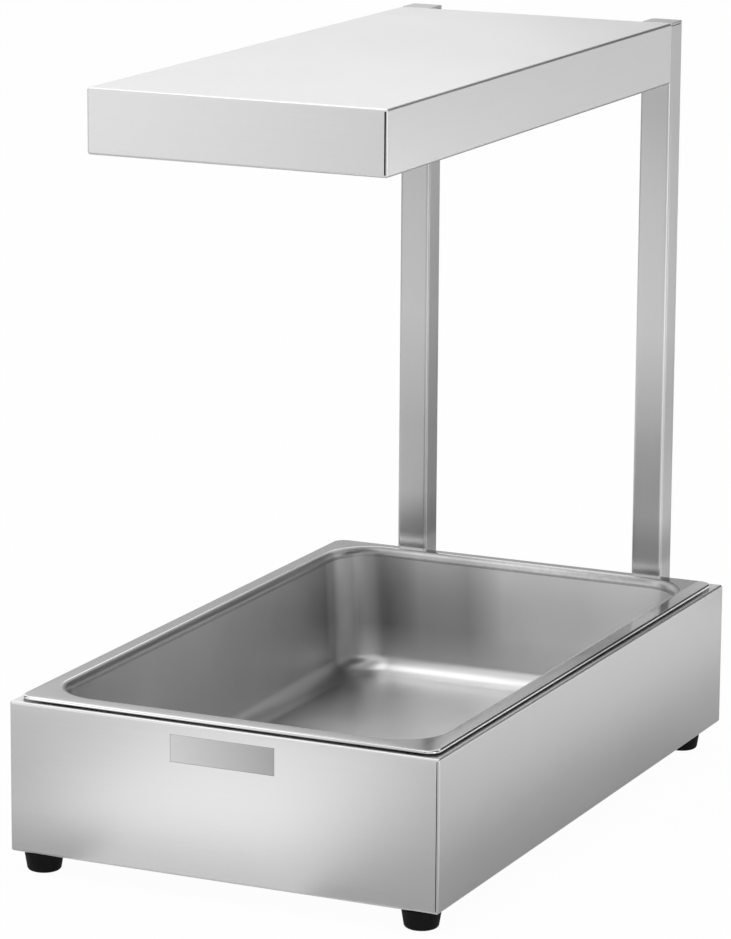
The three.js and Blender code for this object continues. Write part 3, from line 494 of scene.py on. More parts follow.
def satin_steel():
    """The badge plate's rolled sheet, duller and darker than the housing it is set in, with a
    painted sheen: lighter at its left end, darker at its right.
    """
    material, finish, shader = new_finish("satin plate")
    place = finish.position()
    fine = finish.streaks(place, plate_strokes, detail=3, roughness=0.6)
    speckle = finish.noise(place, plate_speckles, roughness=0.6)
    # Painted sheen: the plate is lighter at its left end and darker at its right, with a little
    # grain mixed in
    along = finish.split(place)[0] * (1 / badge_width) + 0.5
    finish.feed(shader, {
        "Base Color": finish.shaded(along.mixed(fine.mixed(speckle, 0.5), 0.2), plate_sheen_and_grain_shades),
        "Metallic": 1,
        "Roughness": varied(0.41, (speckle, 0.1)),
        "Normal": finish.bump(speckle, strength=0.3, distance=0.05 * mm),
    })
    return material


def inside_painted_shading(finish, x, y, height, depth, cloud):
    """Light and shade painted inside the pan: walls lighter or darker across it, lighter up them, a
    painted highlight at the back left corner, painted shade towards the front, and the floor
    painted darker on the left as if shaded by the left wall; noise varies it at random.
    """
    drawn_in = (depth - height) * (pan_taper / (depth - pan_edge - pan_fillet))
    waved = x - drawn_in + (cloud - 0.5) * wall_wave
    # Painted light and shade across the walls, darkest on the left
    stops = [((place * mm + wall_reach) / (2 * wall_reach), tone) for place, tone in wall_painted_shades]
    across = finish.ramp(waved.between(-wall_reach, wall_reach), stops)
    # The floor is painted darker on the left, as a painted shadow
    floor = x.between(*floor_shadow_ramp) * floor_painted_light_gain + floor_shadow_level
    along = y + drawn_in
    # Painted highlight in the back left corner, and painted shade towards the front
    corner = along.strip(*corner_highlight_strip) * (x < 0) * corner_highlight_gain
    front = along.between(*front_shade_ramp) * front_shade_loss
    # The walls are painted lighter towards their top
    wall = across + height.between(*wall_painted_lift) * painted_lift_gain - painted_lift_gain / 2 + corner - front
    return floor + (wall - floor) * height.between(*wall_rise) + (cloud - 0.5) * cloud_gain


def rim_painted_light_and_wear(finish, x, y, place, cloud):
    """Light and shade painted on the pan's rim: lighter to the left and, on the right, lighter to
    the rear and darker in the middle; it is also worn and smudged on the right, and varies at
    random.
    """
    right = x > right_rim
    smudge = finish.streaks(place, pan_smudges, detail=3, roughness=0.6).between(*smudge_range)
    worn = x.strip(*worn_strip) * smudge * worn_loss
    # On the right rim: painted shade in the middle, painted light towards the rear, and wear marks
    middle = y.strip(*middle_shade_strip) * middle_painted_shade
    right_painted_light_and_wear = y.between(*rear_light_ramp) * rear_painted_light - middle - worn
    # Painted light towards the left of the rim
    painted_slope = x * (1 - right) * rim_painted_shade_per_metre
    return cloud * rim_cloud + rim_level + right * right_painted_light_and_wear - painted_slope


def drawn_steel():
    """Deep drawn sheet: a smooth rim, a satin floor, and rougher walls, with light and shade
    painted in, the walls painted darkest on the left.
    """
    material, finish, shader = new_finish("drawn steel")
    place = finish.position()
    x, y, z = finish.split(place)
    low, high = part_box("food_pan")
    height = z - low.z
    fine = finish.noise(place, pan_fine_marks, detail=3, roughness=0.6)
    marks = finish.streaks(place, pan_marks, detail=3)
    mottle = finish.noise(place, pan_mottles, detail=3, roughness=0.7)
    cloud = finish.noise(place, pan_clouds, detail=3)
    behind_rim = (y > low.y + rim_land - rim_shift) * (y < high.y - rim_land)
    inside = behind_rim * (abs(x) < high.x - rim_land) * (height < inside_top)
    edge = (height > edge_bottom) * inside
    inner = inside_painted_shading(finish, x, y, height, high.z - low.z, cloud)
    rim = rim_painted_light_and_wear(finish, x, y, place, cloud)
    # The rounded inner edge is darkened by painted shade, broken by mottling; outside the opening
    # the rim takes its own painted light and wear
    tone = inner * (1 - edge * (edge_painted_shade - mottle * edge_mottle)) * inside + rim * (1 - inside)
    relief = (marks * 0.7 + fine * 0.05) * (inside * (1 - rim_relief) + rim_relief)
    finish.feed(shader, {
        "Base Color": finish.shaded(tone, pan_shades),
        "Metallic": 1,
        "Roughness": (fine * 0.05 + marks * 0.1 + inside_roughness) * inside + rim_roughness,
        "Normal": finish.bump(relief, strength=0.1, distance=0.5 * mm),
    })
    return material


def zinc_steel():
    material, finish, shader = new_finish("zinc plated steel")
    place = finish.position()
    spangle = finish.noise(place, zinc_spangles, detail=3, roughness=0.6)
    cloud = finish.noise(place, zinc_clouds)
    finish.feed(shader, {
        "Base Color": finish.shaded(spangle.mixed(cloud, 0.5), zinc_shades, zinc_tint),
        "Metallic": 1,
        "Roughness": varied(0.37, (spangle, 0.14)),
        "Normal": finish.bump(spangle, strength=0.08, distance=0.1 * mm),
    })
    return material


def bright_aluminium():
    material, finish, shader = new_finish("bright aluminium")
    place = finish.position()
    rolled = finish.streaks(place, aluminium_strokes)
    cloud = finish.noise(place, aluminium_clouds)
    finish.feed(shader, {
        "Base Color": finish.shaded(cloud, aluminium_shades, aluminium_tint),
        "Metallic": 1,
        "Roughness": varied(0.135, (rolled, 0.06), (cloud, 0.05)),
        "Normal": finish.bump(cloud, strength=0.1, distance=1 * mm),
    })
    return material


def moulded(name, dark, pale, roughness, speckles, depth, shine=0.5):
    """A moulded part: even colour, a texture of so many speckles to the metre, and slight shine."""
    material, finish, shader = new_finish(name)
    place = finish.position()
    fine = finish.noise(place, speckles, detail=3, roughness=0.65)
    cloud = finish.noise(place, moulded_clouds)
    finish.feed(shader, {
        "Base Color": finish.blend(fine.mixed(cloud, 0.5), dark, pale),
        "Roughness": varied(roughness, (fine, 0.12), (cloud, 0.08)),
        "Specular IOR Level": shine,
        "Normal": finish.bump(fine, strength=0.2, distance=depth),
    })
    return material


def quartz_glass():
    material, finish, shader = new_finish("quartz glass")
    cloud = finish.streaks(finish.position(), glass_streaks)
    finish.feed(shader, {
        "Base Color": finish.shaded(cloud, glass_shades),
        "Roughness": varied(0.04, (cloud, 0.04)),
        "Transmission Weight": 1,
        "IOR": quartz_index,
    })
    return material


def coil_metal():
    material, finish, shader = new_finish("heating wire")
    oxide = finish.noise(finish.position(), coil_oxides, detail=3, roughness=0.6)
    finish.feed(shader, {
        "Base Color": finish.blend(oxide, coil_dark, coil_pale),
        "Metallic": 0.9,
        "Roughness": varied(0.45, (oxide, 0.2)),
        "Normal": finish.bump(oxide, strength=0.1, distance=0.05 * mm),
    })
    return material


# Forms: rounded rectangles bridged into sheets, and round forms spun from a profile

def only(items, kind):
    """The vertices, edges or faces among an operator's results."""
    return [item for item in items if isinstance(item, kind)]


def arc(inset, level, radius, start, end, steps):
    """Pairs of inset and level along an arc about a point."""
    angles = [start + (end - start) * step / steps for step in range(steps + 1)]
    return [(inset + radius * math.cos(angle), level + radius * math.sin(angle))
            for angle in angles]


def add_ring(bm, half_width, half_length, corner, level, steps):
    """A rounded rectangle lying flat at a level. A sheet made of rings takes their faces away."""
    corners = bmesh.ops.create_grid(bm, x_segments=1, y_segments=1, size=1)["verts"]
    bmesh.ops.scale(bm, vec=(half_width, half_length, 1), verts=corners)
    bmesh.ops.translate(bm, vec=(0, 0, level), verts=corners)
    rounded = bmesh.ops.bevel(
        bm, geom=corners, offset=corner, segments=steps, profile=0.5, affect="VERTICES",
        material=-1)
    return rounded["verts"][0].link_faces[0]


def add_rings(bm, outline, half_width, half_length, steps):
    """Rings from an outline of inset, level and corner radius."""
    return [add_ring(bm, half_width - inset, half_length - inset, corner, level, steps)
            for inset, level, corner in outline]


def bridge_rings(bm, rings, closed=False):
    """Joins rings in turn into one sheet, set apart meanwhile, and gives the edges of each."""
    edges = [list(face.edges) for face in rings]
    corners = [list(face.verts) for face in rings]
    bmesh.ops.delete(bm, geom=rings, context="FACES_ONLY")
    for place, ring in enumerate(corners):
        bmesh.ops.translate(bm, vec=(0, 0, place * bridging_space), verts=ring)
    pairs = list(zip(edges, edges[1:]))
    if closed:
        pairs.append((edges[-1], edges[0]))
    for first, second in pairs:
        bmesh.ops.bridge_loops(bm, edges=first + second)
    for place, ring in enumerate(corners):
        bmesh.ops.translate(bm, vec=(0, 0, -place * bridging_space), verts=ring)
    return edges


def close_ring(bm, edges):
    return bmesh.ops.contextual_create(bm, geom=edges)["faces"][0]


def face_outwards(bm, face, direction):
    """Turns all faces alike, so that one of them looks a given way."""
    bmesh.ops.recalc_face_normals(bm, faces=bm.faces)
    if face.normal.dot(Vector(direction)) < 0:
        bmesh.ops.reverse_faces(bm, faces=bm.faces)


def move(bm, x=0.0, y=0.0, z=0.0):
    bmesh.ops.translate(bm, vec=(x, y, z), verts=bm.verts)


def turn(bm, angle, axis):
    matrix = Matrix.Rotation(angle, 3, axis)
    bmesh.ops.rotate(bm, cent=(0, 0, 0), matrix=matrix, verts=bm.verts)


def spun(pairs):
    """A round form about the upright axis, from pairs of radius and level."""
    bm = bmesh.new()
    points = [bm.verts.new((radius, 0, level)) for radius, level in pairs]
    edges = [bm.edges.new(pair) for pair in zip(points, points[1:])]
    bmesh.ops.spin(
        bm, geom=points + edges, cent=(0, 0, 0), axis=(0, 0, 1), angle=full_turn,
        steps=round_steps, use_merge=True)
    bmesh.ops.remove_doubles(bm, verts=bm.verts, dist=spun_gap)
    bmesh.ops.recalc_face_normals(bm, faces=bm.faces)
    return bm


def solid_copy(node):
    """A CAD node's form with its loose triangles merged into whole faces."""
    bm = bmesh.new()
    bm.from_mesh(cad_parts[node].data)
    bmesh.ops.remove_doubles(bm, verts=bm.verts, dist=solid_gap)
    bmesh.ops.dissolve_limit(bm, angle_limit=flat_angle, verts=bm.verts, edges=bm.edges)
    return bm


def place_object(name, data):
    holder = bpy.data.objects.new(name, data)
    bpy.context.scene.collection.objects.link(holder)
    return holder


def mesh_object(name, bm, material):
    mesh = bpy.data.meshes.new(name)
    bm.to_mesh(mesh)
    bm.free()
    mesh.materials.append(material)
    return place_object(name, mesh)


def add_piece(name, bm, material, body="housing", stands_for=None,
              crease=sheet_crease, soften=0.0):
    """Makes a piece of a mesh, smooth over its bends, and gives it its body and slot."""
    piece = mesh_object(name, bm, material)
    piece.data.shade_smooth()
    piece.data.set_sharp_from_angle(angle=math.radians(crease))
    if soften:
        rounding = piece.modifiers.new("softened edges", "BEVEL")
        rounding.width = soften
        rounding.segments = 2
        rounding.limit_method = "ANGLE"
        rounding.angle_limit = math.radians(crease)
        rounding.harden_normals = True
    else:
        even = piece.modifiers.new("even normals", "WEIGHTED_NORMAL")
        even.keep_sharp = True
    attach(piece, body)
    if stands_for:
        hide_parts(stands_for)


def size_of(node):
    """Half width, half length, middle, lowest and highest level of a node."""
    low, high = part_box(node)
    middle = (low + high) / 2
    return (high.x - low.x) / 2, (high.y - low.y) / 2, middle, low.z, high.z


# Base housing: folded sheet with a well, returns below, open end seams and holes at the rear

def cut_across(bm, faces, places, direction):
    """Cuts faces along planes, and gives the faces back."""
    for place in places:
        around = {edge for face in faces for edge in face.edges}
        corners = {corner for face in faces for corner in face.verts}
        made = bmesh.ops.bisect_plane(
            bm, geom=[*faces, *around, *corners], plane_co=Vector(direction) * place,
            plane_no=direction)
        faces = only(made["geom"], bmesh.types.BMFace)
    return faces


def end_walls(bm, way, bottom, top):
    """The upright faces that look along Y one way, between two levels."""
    return [face for face in bm.faces
            if way * face.normal.y > end_facing and bottom < face.calc_center_median().z < top]


def open_seams(bm, half_width, corner, seam, bottom, top):
    """Slits in the end walls, beside the side panels' corners. The front left one is shut."""
    far = half_width - corner
    near = far - seam
    for way, sides in ((front_way, (1,)), (rear_way, (-1, 1))):
        walls = end_walls(bm, way, bottom, top)
        places = sorted(side * x for side in sides for x in (near, far))
        cuts = cut_across(bm, walls, places, (1, 0, 0))
        slits = [face for face in cuts
                 if any(near < side * face.calc_center_median().x < far for side in sides)]
        bmesh.ops.delete(bm, geom=slits, context="FACES")


def end_faces_within(bm, way, x, z, half_width, half_height, bottom, top):
    """Cuts an end wall round a rectangle, and gives the faces inside it."""
    walls = end_walls(bm, way, bottom, top)
    walls = cut_across(bm, walls, [x - half_width, x + half_width], (1, 0, 0))
    walls = cut_across(bm, walls, [z - half_height, z + half_height], (0, 0, 1))
    return [face for face in walls
            if abs(face.calc_center_median().x - x) < half_width
            and abs(face.calc_center_median().z - z) < half_height]


def open_window(bm, way, x, z, width, height, bottom, top):
    faces = end_faces_within(bm, way, x, z, width / 2, height / 2, bottom, top)
    bmesh.ops.delete(bm, geom=faces, context="FACES")


def round_rear_hole(bm, x, z, radius, bottom, top):
    """Opens a square in the rear wall and bridges its rim to a circle."""
    reach = gland_square_share * radius
    inside = end_faces_within(bm, rear_way, x, z, reach, reach, bottom, top)
    square = bmesh.ops.dissolve_faces(bm, faces=inside)["region"][0]
    depth = square.calc_center_median().y
    split = bmesh.ops.subdivide_edges(bm, edges=list(square.edges), cuts=hole_side_cuts)
    rim = only(split["geom"], bmesh.types.BMEdge)
    shared = set.intersection(*[set(edge.link_faces) for edge in rim])
    square = min(shared, key=lambda face: face.calc_area())
    outer = list(square.edges)
    bmesh.ops.delete(bm, geom=[square], context="FACES_ONLY")
    upright = Matrix.Translation((x, depth, z)) @ Matrix.Rotation(quarter, 4, "X")
    circle = bmesh.ops.create_circle(
        bm, cap_ends=False, segments=len(outer), radius=radius, matrix=upright)["verts"]
    inner = list({edge for corner in circle for edge in corner.link_edges})
    bmesh.ops.bridge_loops(bm, edges=outer + inner)


def folded(inset, level, radius, start, end, corner):
    """An outside fold as an outline of inset, level and the plan corner's radius."""
    pairs = arc(inset, level, radius, start, end, bend_steps)
    return [(place, height, max(corner - place, corner * least_corner_share))
            for place, height in pairs]


def shell_outline(inset, inset_corner, bottom, top, bend, corner):
    """A folded shell from its return, round the lower fold, up the wall and round the upper one."""
    return [
        (inset, bottom, inset_corner),
        *folded(bend, bottom + bend, bend, -quarter, -2 * quarter, corner),
        *folded(bend, top - bend, bend, 2 * quarter, quarter, corner),
    ]


def base_housing(material):
    half_width, half_length, middle, bottom, top = size_of("base_shell")
    levels = (bottom + base_bend, top - base_bend)
    bm = bmesh.new()
    outline = shell_outline(base_return, return_corner, bottom, top, base_bend, base_corner)
    rings = add_rings(bm, outline, half_width, half_length, corner_steps)
    well_half_width = half_width - well_side_inset + base_sheet
    well_half_length = half_length - well_end_inset + base_sheet
    for level in (top, top + well_collar):
        rings.append(
            add_ring(bm, well_half_width, well_half_length, well_corner, level, corner_steps))
    bridge_rings(bm, rings)
    wall = min(bm.faces, key=lambda face: face.calc_center_median().y)
    face_outwards(bm, wall, (0, -1, 0))
    open_seams(bm, half_width, base_corner, base_seam, *levels)
    badge_level = top - badge_drop - badge_height / 2
    open_window(bm, front_way, badge_offset, badge_level, badge_width, badge_height, *levels)
    switch = size_of("switch_housing")[2]
    open_window(
        bm, rear_way, switch.x, switch.z, switch_hole_width, switch_hole_height, *levels)
    gland = size_of("cord_gland")[2]
    round_rear_hole(bm, gland.x, gland.z, gland_hole_radius, *levels)
    bmesh.ops.solidify(bm, geom=bm.faces, thickness=base_sheet)
    move(bm, y=middle.y)
    add_piece("base_housing", bm, material, stands_for="base_shell")


# Badge plate, bare, set flush in a window in the front of the base

def badge_plate(material):
    low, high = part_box("base_shell")
    bm = bmesh.new()
    half_width = badge_width / 2 - badge_clearance
    half_height = badge_height / 2 - badge_clearance
    front = add_ring(bm, half_width, half_height, badge_corner, 0, corner_steps)
    raised = bmesh.ops.extrude_face_region(bm, geom=[front])["geom"]
    lifted = only(raised, bmesh.types.BMVert)
    bmesh.ops.translate(bm, vec=(0, 0, badge_thickness), verts=lifted)
    bmesh.ops.bevel(
        bm, geom=only(raised, bmesh.types.BMEdge), offset=badge_edge, segments=2, profile=0.5,
        affect="EDGES", material=-1)
    bmesh.ops.recalc_face_normals(bm, faces=bm.faces)
    turn(bm, quarter, "X")
    move(bm, badge_offset, low.y + badge_thickness, high.z - badge_drop - badge_height / 2)
    add_piece("badge_plate", bm, material, crease=badge_crease)


# Canopy: folded cover, open below

def canopy_cover(material):
    half_width, half_length, middle, bottom, top = size_of("canopy_shell")
    bm = bmesh.new()
    outline = shell_outline(
        canopy_return, canopy_corner, bottom, top, canopy_bend, canopy_corner)
    edges = bridge_rings(bm, add_rings(bm, outline, half_width, half_length, corner_steps))
    roof = close_ring(bm, edges[-1])
    face_outwards(bm, roof, (0, 0, 1))
    open_seams(
        bm, half_width, canopy_corner, canopy_seam, bottom + canopy_bend, top - canopy_bend)
    bmesh.ops.solidify(bm, geom=bm.faces, thickness=canopy_sheet)
    move(bm, y=middle.y)
    add_piece("canopy_cover", bm, material, stands_for="canopy_shell")


# Food pan, deep drawn

def drawn_pan(material):
    half_width, half_length, middle, bottom, top = size_of("food_pan")
    wall_inset = rim_land + pan_edge
    foot_inset = wall_inset + pan_taper
    floor = bottom + pan_sheet
    lip = arc(lip_bend, top - lip_bend, lip_bend, 2 * quarter, quarter, bend_steps)
    edge = arc(rim_land, top - pan_edge, pan_edge, quarter, 0, fillet_steps)
    fillet = arc(
        foot_inset + pan_fillet, floor + pan_fillet, pan_fillet, -2 * quarter, -quarter,
        fillet_steps)
    outline = [(0, top - lip_drop, rim_corner)]
    for pairs, corner, corner_inset in (
            (lip, rim_corner, 0),
            (edge, pan_corner, wall_inset),
            (fillet, pan_floor_corner, foot_inset)):
        outline += [(inset, level, corner + corner_inset - inset) for inset, level in pairs]
    bm = bmesh.new()
    rings = add_rings(bm, outline, half_width, half_length, pan_corner_steps)
    rim = [corner for ring in rings[:len(lip) + 1] for corner in ring.verts]
    bmesh.ops.translate(bm, vec=(0, -rim_shift, 0), verts=rim)
    edges = bridge_rings(bm, rings)
    face_outwards(bm, close_ring(bm, edges[-1]), (0, 0, 1))
    bmesh.ops.solidify(bm, geom=bm.faces, thickness=pan_sheet)
    move(bm, y=middle.y)
    add_piece("drawn_pan", bm, material, "pan", "food_pan", pan_crease)


# Posts

def post_tube(node, material):
    half_width, half_depth, middle, bottom, top = size_of(node)
    bm = bmesh.new()
    rings = [add_ring(bm, half_width, half_depth, post_corner, level, post_corner_steps)
             for level in (bottom, top)]
    bridge_rings(bm, rings)
    outside = next(face for face in bm.faces if face.normal.length)
    face_outwards(bm, outside, outside.calc_center_median().xy.to_3d())
    bmesh.ops.solidify(bm, geom=bm.faces, thickness=post_wall)
    move(bm, middle.x, middle.y)
    name = node.replace("post", "tube")
    add_piece(name, bm, material, stands_for=node)


# Feet, turned rubber with a recess for the screw

def rubber_foot(node, material):
    middle, bottom, top = size_of(node)[2:]
    edge = arc(
        foot_bottom_radius - foot_edge, bottom + foot_edge, foot_edge, -quarter, 0,
        foot_edge_steps)
    recess_top = bottom + foot_recess_depth
    bm = spun([
        (foot_bore_radius, recess_top),
        (foot_recess_radius, recess_top),
        (foot_recess_radius, bottom + foot_recess_edge),
        (foot_recess_radius + foot_recess_edge, bottom),
        *edge,
        (foot_top_radius - foot_shoulder, top - foot_top_edge),
        (foot_top_radius - foot_top_edge, top),
        (foot_bore_radius, top),
        (foot_bore_radius, recess_top),
    ])
    move(bm, middle.x, middle.y)
    name = node.replace("foot", "rubber_foot")
    add_piece(name, bm, material, stands_for=node)


# Reflector trough

def reflector_trough(material):
    half_width, half_length, middle, bottom, top = size_of("reflector")
    ceiling_level = top - reflector_sheet
    bm = bmesh.new()
    rings = [
        add_ring(bm, half_width - side_inset, half_length - end_inset, reflector_corner, level,
                 corner_steps)
        for side_inset, end_inset, level in (
            (0, 0, bottom),
            (reflector_flange, reflector_flange, bottom),
            (reflector_flange + reflector_side_lean, reflector_flange + reflector_end_lean,
             ceiling_level))
    ]
    edges = bridge_rings(bm, rings)
    face_outwards(bm, close_ring(bm, edges[-1]), (0, 0, -1))
    bmesh.ops.solidify(bm, geom=bm.faces, thickness=reflector_sheet)
    move(bm, y=middle.y)
    add_piece("reflector_trough", bm, material, stands_for="reflector",
              crease=trough_crease)


# Wire guard

def add_wire(bm, start, end):
    """A straight round wire with closed ends."""
    start = Vector(start)
    end = Vector(end)
    along = end - start
    facing = along.to_track_quat("Z", "Y").to_matrix().to_4x4()
    bmesh.ops.create_cone(
        bm, cap_ends=True, segments=wire_sides, radius1=guard_wire_radius,
        radius2=guard_wire_radius, depth=along.length,
        matrix=Matrix.Translation((start + end) / 2) @ facing)


def guard_grille(material):
    half_width, half_length, middle, bottom, top = size_of("wire_guard")
    level = (bottom + top) / 2
    wide = half_width - guard_frame_radius
    long = half_length - guard_frame_radius
    bm = bmesh.new()
    section = arc(0, 0, guard_frame_radius, 0, full_turn, wire_sides)[:-1]
    rings = [add_ring(bm, wide + out, long + out, guard_corner + out, level + up,
                      guard_corner_steps) for out, up in section]
    bridge_rings(bm, rings, closed=True)
    count = int(2 * long / guard_pitch) - 1
    for place in range(count):
        y = (place - (count - 1) / 2) * guard_pitch
        add_wire(bm, (-wide, y, level), (wide, y, level))
    for x in (-guard_runner_spacing / 2, guard_runner_spacing / 2):
        add_wire(bm, (x, -long, level), (x, long, level))
    bmesh.ops.recalc_face_normals(bm, faces=bm.faces)
    move(bm, y=middle.y)
    add_piece("guard_grille", bm, material, stands_for="wire_guard")


# Lamps: quartz tube and heating coil

def quartz_lamp(node, material):
    radius, half_length, middle = size_of(node)[:3]
    inside = radius - quartz_wall
    half_wall = [
        (inside, -half_length + quartz_edge), (inside + quartz_edge, -half_length),
        (radius - quartz_edge, -half_length), (radius, -half_length + quartz_edge),
    ]
    other_half = [(width, -level) for width, level in reversed(half_wall)]
    bm = spun(half_wall + other_half + half_wall[:1])
    turn(bm, quarter, "X")
    move(bm, *middle)
    name = node.replace("tube", "sleeve")
    add_piece(name, bm, material, stands_for=node)


def wound_coil(node, material):
    """A helix of fine wire: one turn, doubled until it has them all, with its two ends closed."""
    half_length, middle = size_of(node)[1:3]
    pitch = 2 * (half_length - coil_wire_radius) / coil_turns
    bm = bmesh.new()
    wind = coil_radius - coil_wire_radius
    place = Matrix.Translation((wind, 0, 0)) @ Matrix.Rotation(quarter, 4, "X")
    start = bmesh.ops.create_circle(
        bm, segments=coil_wire_sides, radius=coil_wire_radius, matrix=place)["verts"]
    edges = list({edge for corner in start for edge in corner.link_edges})
    bmesh.ops.spin(
        bm, geom=start + edges, cent=(0, 0, 0), axis=(0, 0, 1), dvec=(0, 0, pitch / coil_steps),
        angle=full_turn, steps=coil_steps)
    wound = 1
    while wound < coil_turns:
        copied = bmesh.ops.duplicate(bm, geom=[*bm.verts, *bm.edges, *bm.faces])["geom"]
        corners = only(copied, bmesh.types.BMVert)
        bmesh.ops.translate(bm, vec=(0, 0, wound * pitch), verts=corners)
        wound *= 2
    bmesh.ops.remove_doubles(bm, verts=bm.verts, dist=coil_gap)
    move(bm, z=-coil_turns * pitch / 2)
    turn(bm, quarter, "X")
    move(bm, *middle)
    bmesh.ops.holes_fill(bm, edges=bm.edges, sides=coil_wire_sides)
    bmesh.ops.recalc_face_normals(bm, faces=bm.faces)
    name = node.replace("heating", "wound")
    add_piece(name, bm, material, stands_for=node)


# Pieces that keep their CAD form, some with their edges softened

def smooth_copy(node, name, material, body="housing", crease=sheet_crease, soften=0.0):
    add_piece(name, solid_copy(node), material, body, node, crease, soften)


# Stage: floor, daylight, lamps, cards and camera

def backdrop_rays(finish):
    """Masks of the camera, glossy and transmission rays, which see the plain backdrop."""
    node = finish.tree.nodes.new("ShaderNodeLightPath")
    kinds = ["Is Camera Ray", "Is Glossy Ray", "Is Transmission Ray"]
    return [Value(finish, node.outputs[kind]) for kind in kinds]


def add_floor():
    bm = bmesh.new()
    bmesh.ops.create_grid(bm, x_segments=2, y_segments=2, size=floor_reach)
    material, finish, shader = new_finish("pale floor")
    cloud = finish.noise(finish.position(), floor_clouds)
    finish.feed(shader, {
        "Base Color": finish.shaded(cloud, floor_shades),
        "Roughness": 0.8,
        "Specular IOR Level": 0,
    })
    camera, glossy, through = backdrop_rays(finish)
    glow = finish.add("ShaderNodeEmission", None, {"Color": grey(1), "Strength": 1})
    share = camera * floor_seen + glossy * floor_mirrored + through * floor_mirrored
    matt = Value(finish, shader.outputs[0])
    mixed = finish.add("ShaderNodeMixShader", None, {0: share, 1: matt, 2: glow})
    finish.feed(material.node_tree.nodes["Material Output"], {"Surface": mixed})
    mesh_object("floor", bm, material)


def add_world():
    world = bpy.data.worlds.new("studio")
    bpy.context.scene.world = world
    world.use_nodes = True
    finish = Finish(world.node_tree)
    camera, glossy, through = backdrop_rays(finish)
    seen = camera + glossy + through
    background = world.node_tree.nodes["Background"]
    strength = daylight + seen * (1 - daylight)
    finish.feed(background, {"Color": grey(1), "Strength": strength})


def add_lamp(name, place, target, width, height, radiance):
    """A softbox that looks at a target and that the camera doesn't see."""
    lamp = bpy.data.lights.new(name, "AREA")
    lamp.shape = "RECTANGLE"
    lamp.size = width
    lamp.size_y = height
    lamp.energy = radiance * math.pi * width * height
    holder = place_object(name, lamp)
    holder.location = place
    holder.rotation_mode = "QUATERNION"
    holder.rotation_quaternion = (Vector(target) - Vector(place)).to_track_quat("-Z", "Y")
    holder.visible_camera = False


def add_card(name, place, target, width, height, level):
    """A matt card of the studio, which reflections see and the camera doesn't."""
    bm = bmesh.new()
    bmesh.ops.create_grid(bm, x_segments=2, y_segments=2, size=0.5)
    bmesh.ops.scale(bm, vec=(width, height, 1), verts=bm.verts)
    facing = (Vector(target) - Vector(place)).to_track_quat("Z", "Y").to_matrix()
    bmesh.ops.rotate(bm, cent=(0, 0, 0), matrix=facing, verts=bm.verts)
    move(bm, *place)
    material, finish, shader = new_finish(name)
    finish.feed(shader, {"Base Color": grey(level), "Roughness": 1, "Specular IOR Level": 0})
    card = mesh_object(name, bm, material)
    card.visible_camera = False
    card.visible_diffuse = False
    card.visible_shadow = False


def add_camera():
    """The camera of the photograph, placed about the middle of the base's front top edge."""
    low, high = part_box("base_shell")
    back = Vector((
        math.sin(camera_azimuth) * math.cos(camera_elevation),
        -math.cos(camera_azimuth) * math.cos(camera_elevation),
        math.sin(camera_elevation)))
    level = Vector((math.cos(camera_azimuth), math.sin(camera_azimuth), 0))
    upward = back.cross(level)
    right = level * math.cos(camera_roll) + upward * math.sin(camera_roll)
    up = upward * math.cos(camera_roll) - level * math.sin(camera_roll)
    origin = Vector((0, low.y, high.z))
    eye = origin + back * camera_distance + right * camera_aside + up * camera_rise
    camera = bpy.data.cameras.new("camera")
    camera.sensor_width = film_height
    camera.lens = focal_pixels / picture_height * film_height
    camera.clip_start = nearest_seen
    camera.clip_end = farthest_seen
    holder = place_object("camera", camera)
    holder.matrix_world = Matrix((
        (right.x, up.x, back.x, eye.x),
        (right.y, up.y, back.y, eye.y),
        (right.z, up.z, back.z, eye.z),
        (0, 0, 0, 1)))
    bpy.context.scene.camera = holder


# Finishes

steel = brushed_steel("brushed steel")
# The two tubes are lit and shaded copies of one steel: the left painted darker, the right lighter,
# with light and shade painted up both
post_steel_lit_and_shaded = {
    "left": brushed_steel("brushed left tube", upright=True, level=0.60, height_painted_shades=post_painted_shades),
    "right": brushed_steel("brushed right tube", upright=True, level=0.72, height_painted_shades=post_painted_shades),
}
cap_steel = brushed_steel("brushed cap", level=0.46)
plate_steel = satin_steel()
pan_steel = drawn_steel()
zinc = zinc_steel()
mirror_sheet = bright_aluminium()
glass = quartz_glass()
heating_wire = coil_metal()
rubber = moulded(
    "black rubber", dark=grey(0.003), pale=grey(0.007), roughness=0.62, speckles=1400,
    depth=0.03 * mm, shine=0.12)
black_plastic = moulded(
    "black plastic", dark=grey(0.014), pale=grey(0.024), roughness=0.42, speckles=2200,
    depth=0.02 * mm)
ceramic = moulded(
    "white ceramic", dark=(0.74, 0.71, 0.64, 1), pale=(0.83, 0.80, 0.74, 1), roughness=0.5,
    speckles=900, depth=0.02 * mm)
terminal_plastic = moulded(
    "terminal plastic", dark=(0.72, 0.70, 0.62, 1), pale=(0.80, 0.78, 0.71, 1), roughness=0.45,
    speckles=1500, depth=0.02 * mm)
silicone = moulded(
    "lead silicone", dark=(0.30, 0.07, 0.03, 1), pale=(0.38, 0.10, 0.05, 1), roughness=0.6,
    speckles=1200, depth=0.02 * mm)

# Sheet and wire pieces

base_housing(steel)
badge_plate(plate_steel)
canopy_cover(steel)
drawn_pan(pan_steel)
reflector_trough(mirror_sheet)
guard_grille(zinc)

# Pieces that come on both sides, and at both ends of them

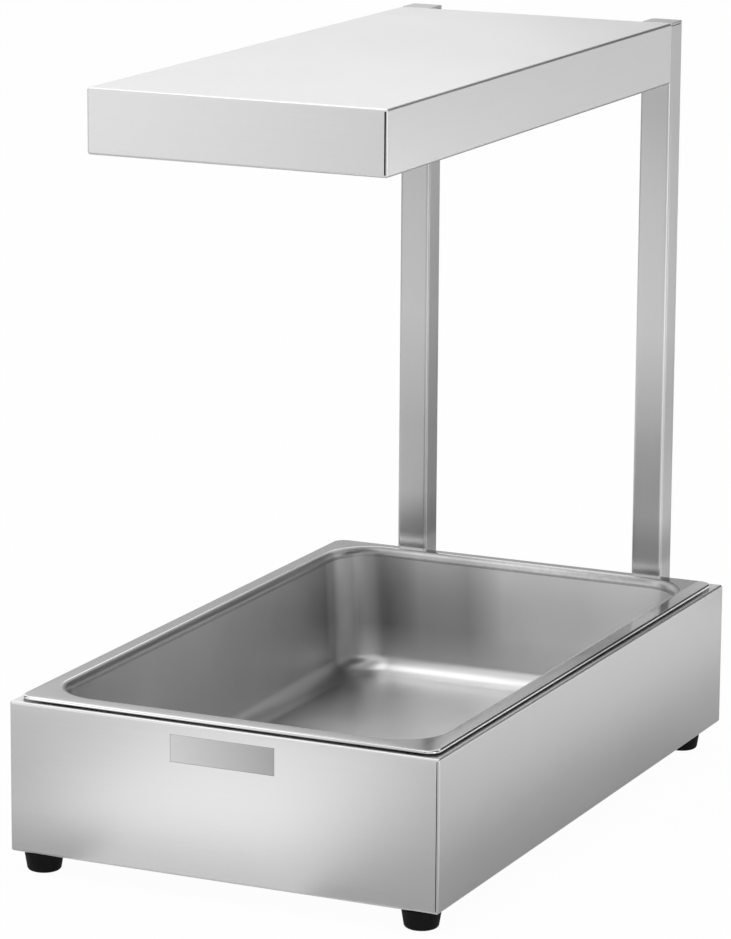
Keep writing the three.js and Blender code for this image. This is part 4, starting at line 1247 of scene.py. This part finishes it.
for side in ("left", "right"):
    post_tube(f"post_{side}", post_steel_lit_and_shaded[side])
    smooth_copy(f"post_top_cap_{side}", f"top_plug_{side}", cap_steel,
                soften=cap_softening)
    smooth_copy(f"post_foot_cap_{side}", f"foot_plug_{side}", black_plastic,
                soften=cap_softening)
    quartz_lamp(f"quartz_tube_{side}", glass)
    wound_coil(f"heating_coil_{side}", heating_wire)
    for end in ("front", "rear"):
        corner = f"{end}_{side}"
        rubber_foot(f"foot_{corner}", rubber)
        smooth_copy(f"ceramic_{corner}", f"lamp_end_{corner}", ceramic)
        smooth_copy(f"lamp_lead_{corner}", f"lamp_wire_{corner}", silicone,
                    crease=lead_crease)
        smooth_copy(f"foot_screw_{corner}", f"foot_fastener_{corner}", zinc)

# Screws and bolts that come in fours

fastener_kinds = {"cover": "screw", "bracket": "screw", "base": "bolt", "canopy": "bolt"}
for number in range(1, 5):
    for place, kind in fastener_kinds.items():
        smooth_copy(f"{place}_{kind}_{number}", f"{place}_fastener_{number}", zinc)

# Brackets, wiring, cover, switch and gland

for end in ("front", "rear"):
    smooth_copy(f"lamp_bracket_{end}", f"lamp_hanger_{end}", zinc)
for place in ("base", "canopy"):
    smooth_copy(f"terminal_block_{place}", f"terminal_strip_{place}", terminal_plastic,
                soften=terminal_softening)
    smooth_copy(f"lead_grommet_{place}", f"lead_bush_{place}", rubber)
smooth_copy("bottom_cover", "slotted_cover", zinc)
smooth_copy("supply_lead", "supply_wire", silicone, crease=lead_crease)
smooth_copy("switch_housing", "switch_surround", black_plastic,
            soften=cap_softening)
smooth_copy("switch_rocker", "switch_paddle", black_plastic, "rocker",
            soften=moulding_softening)
smooth_copy("cord_gland", "gland_body", black_plastic,
            soften=moulding_softening)
smooth_copy("gland_nut", "gland_back_nut", black_plastic,
            soften=moulding_softening)

# Studio

add_floor()
add_world()
for lamp in lamps:
    add_lamp(*lamp)
for card in standing_cards:
    add_card(*card)
for name, x, y, width, length, level in lying_cards:
    add_card(name, (x, y, lying_card_level), (x, y, 1), width, length, level)
add_camera()
bpy.context.scene.view_settings.view_transform = "Standard"
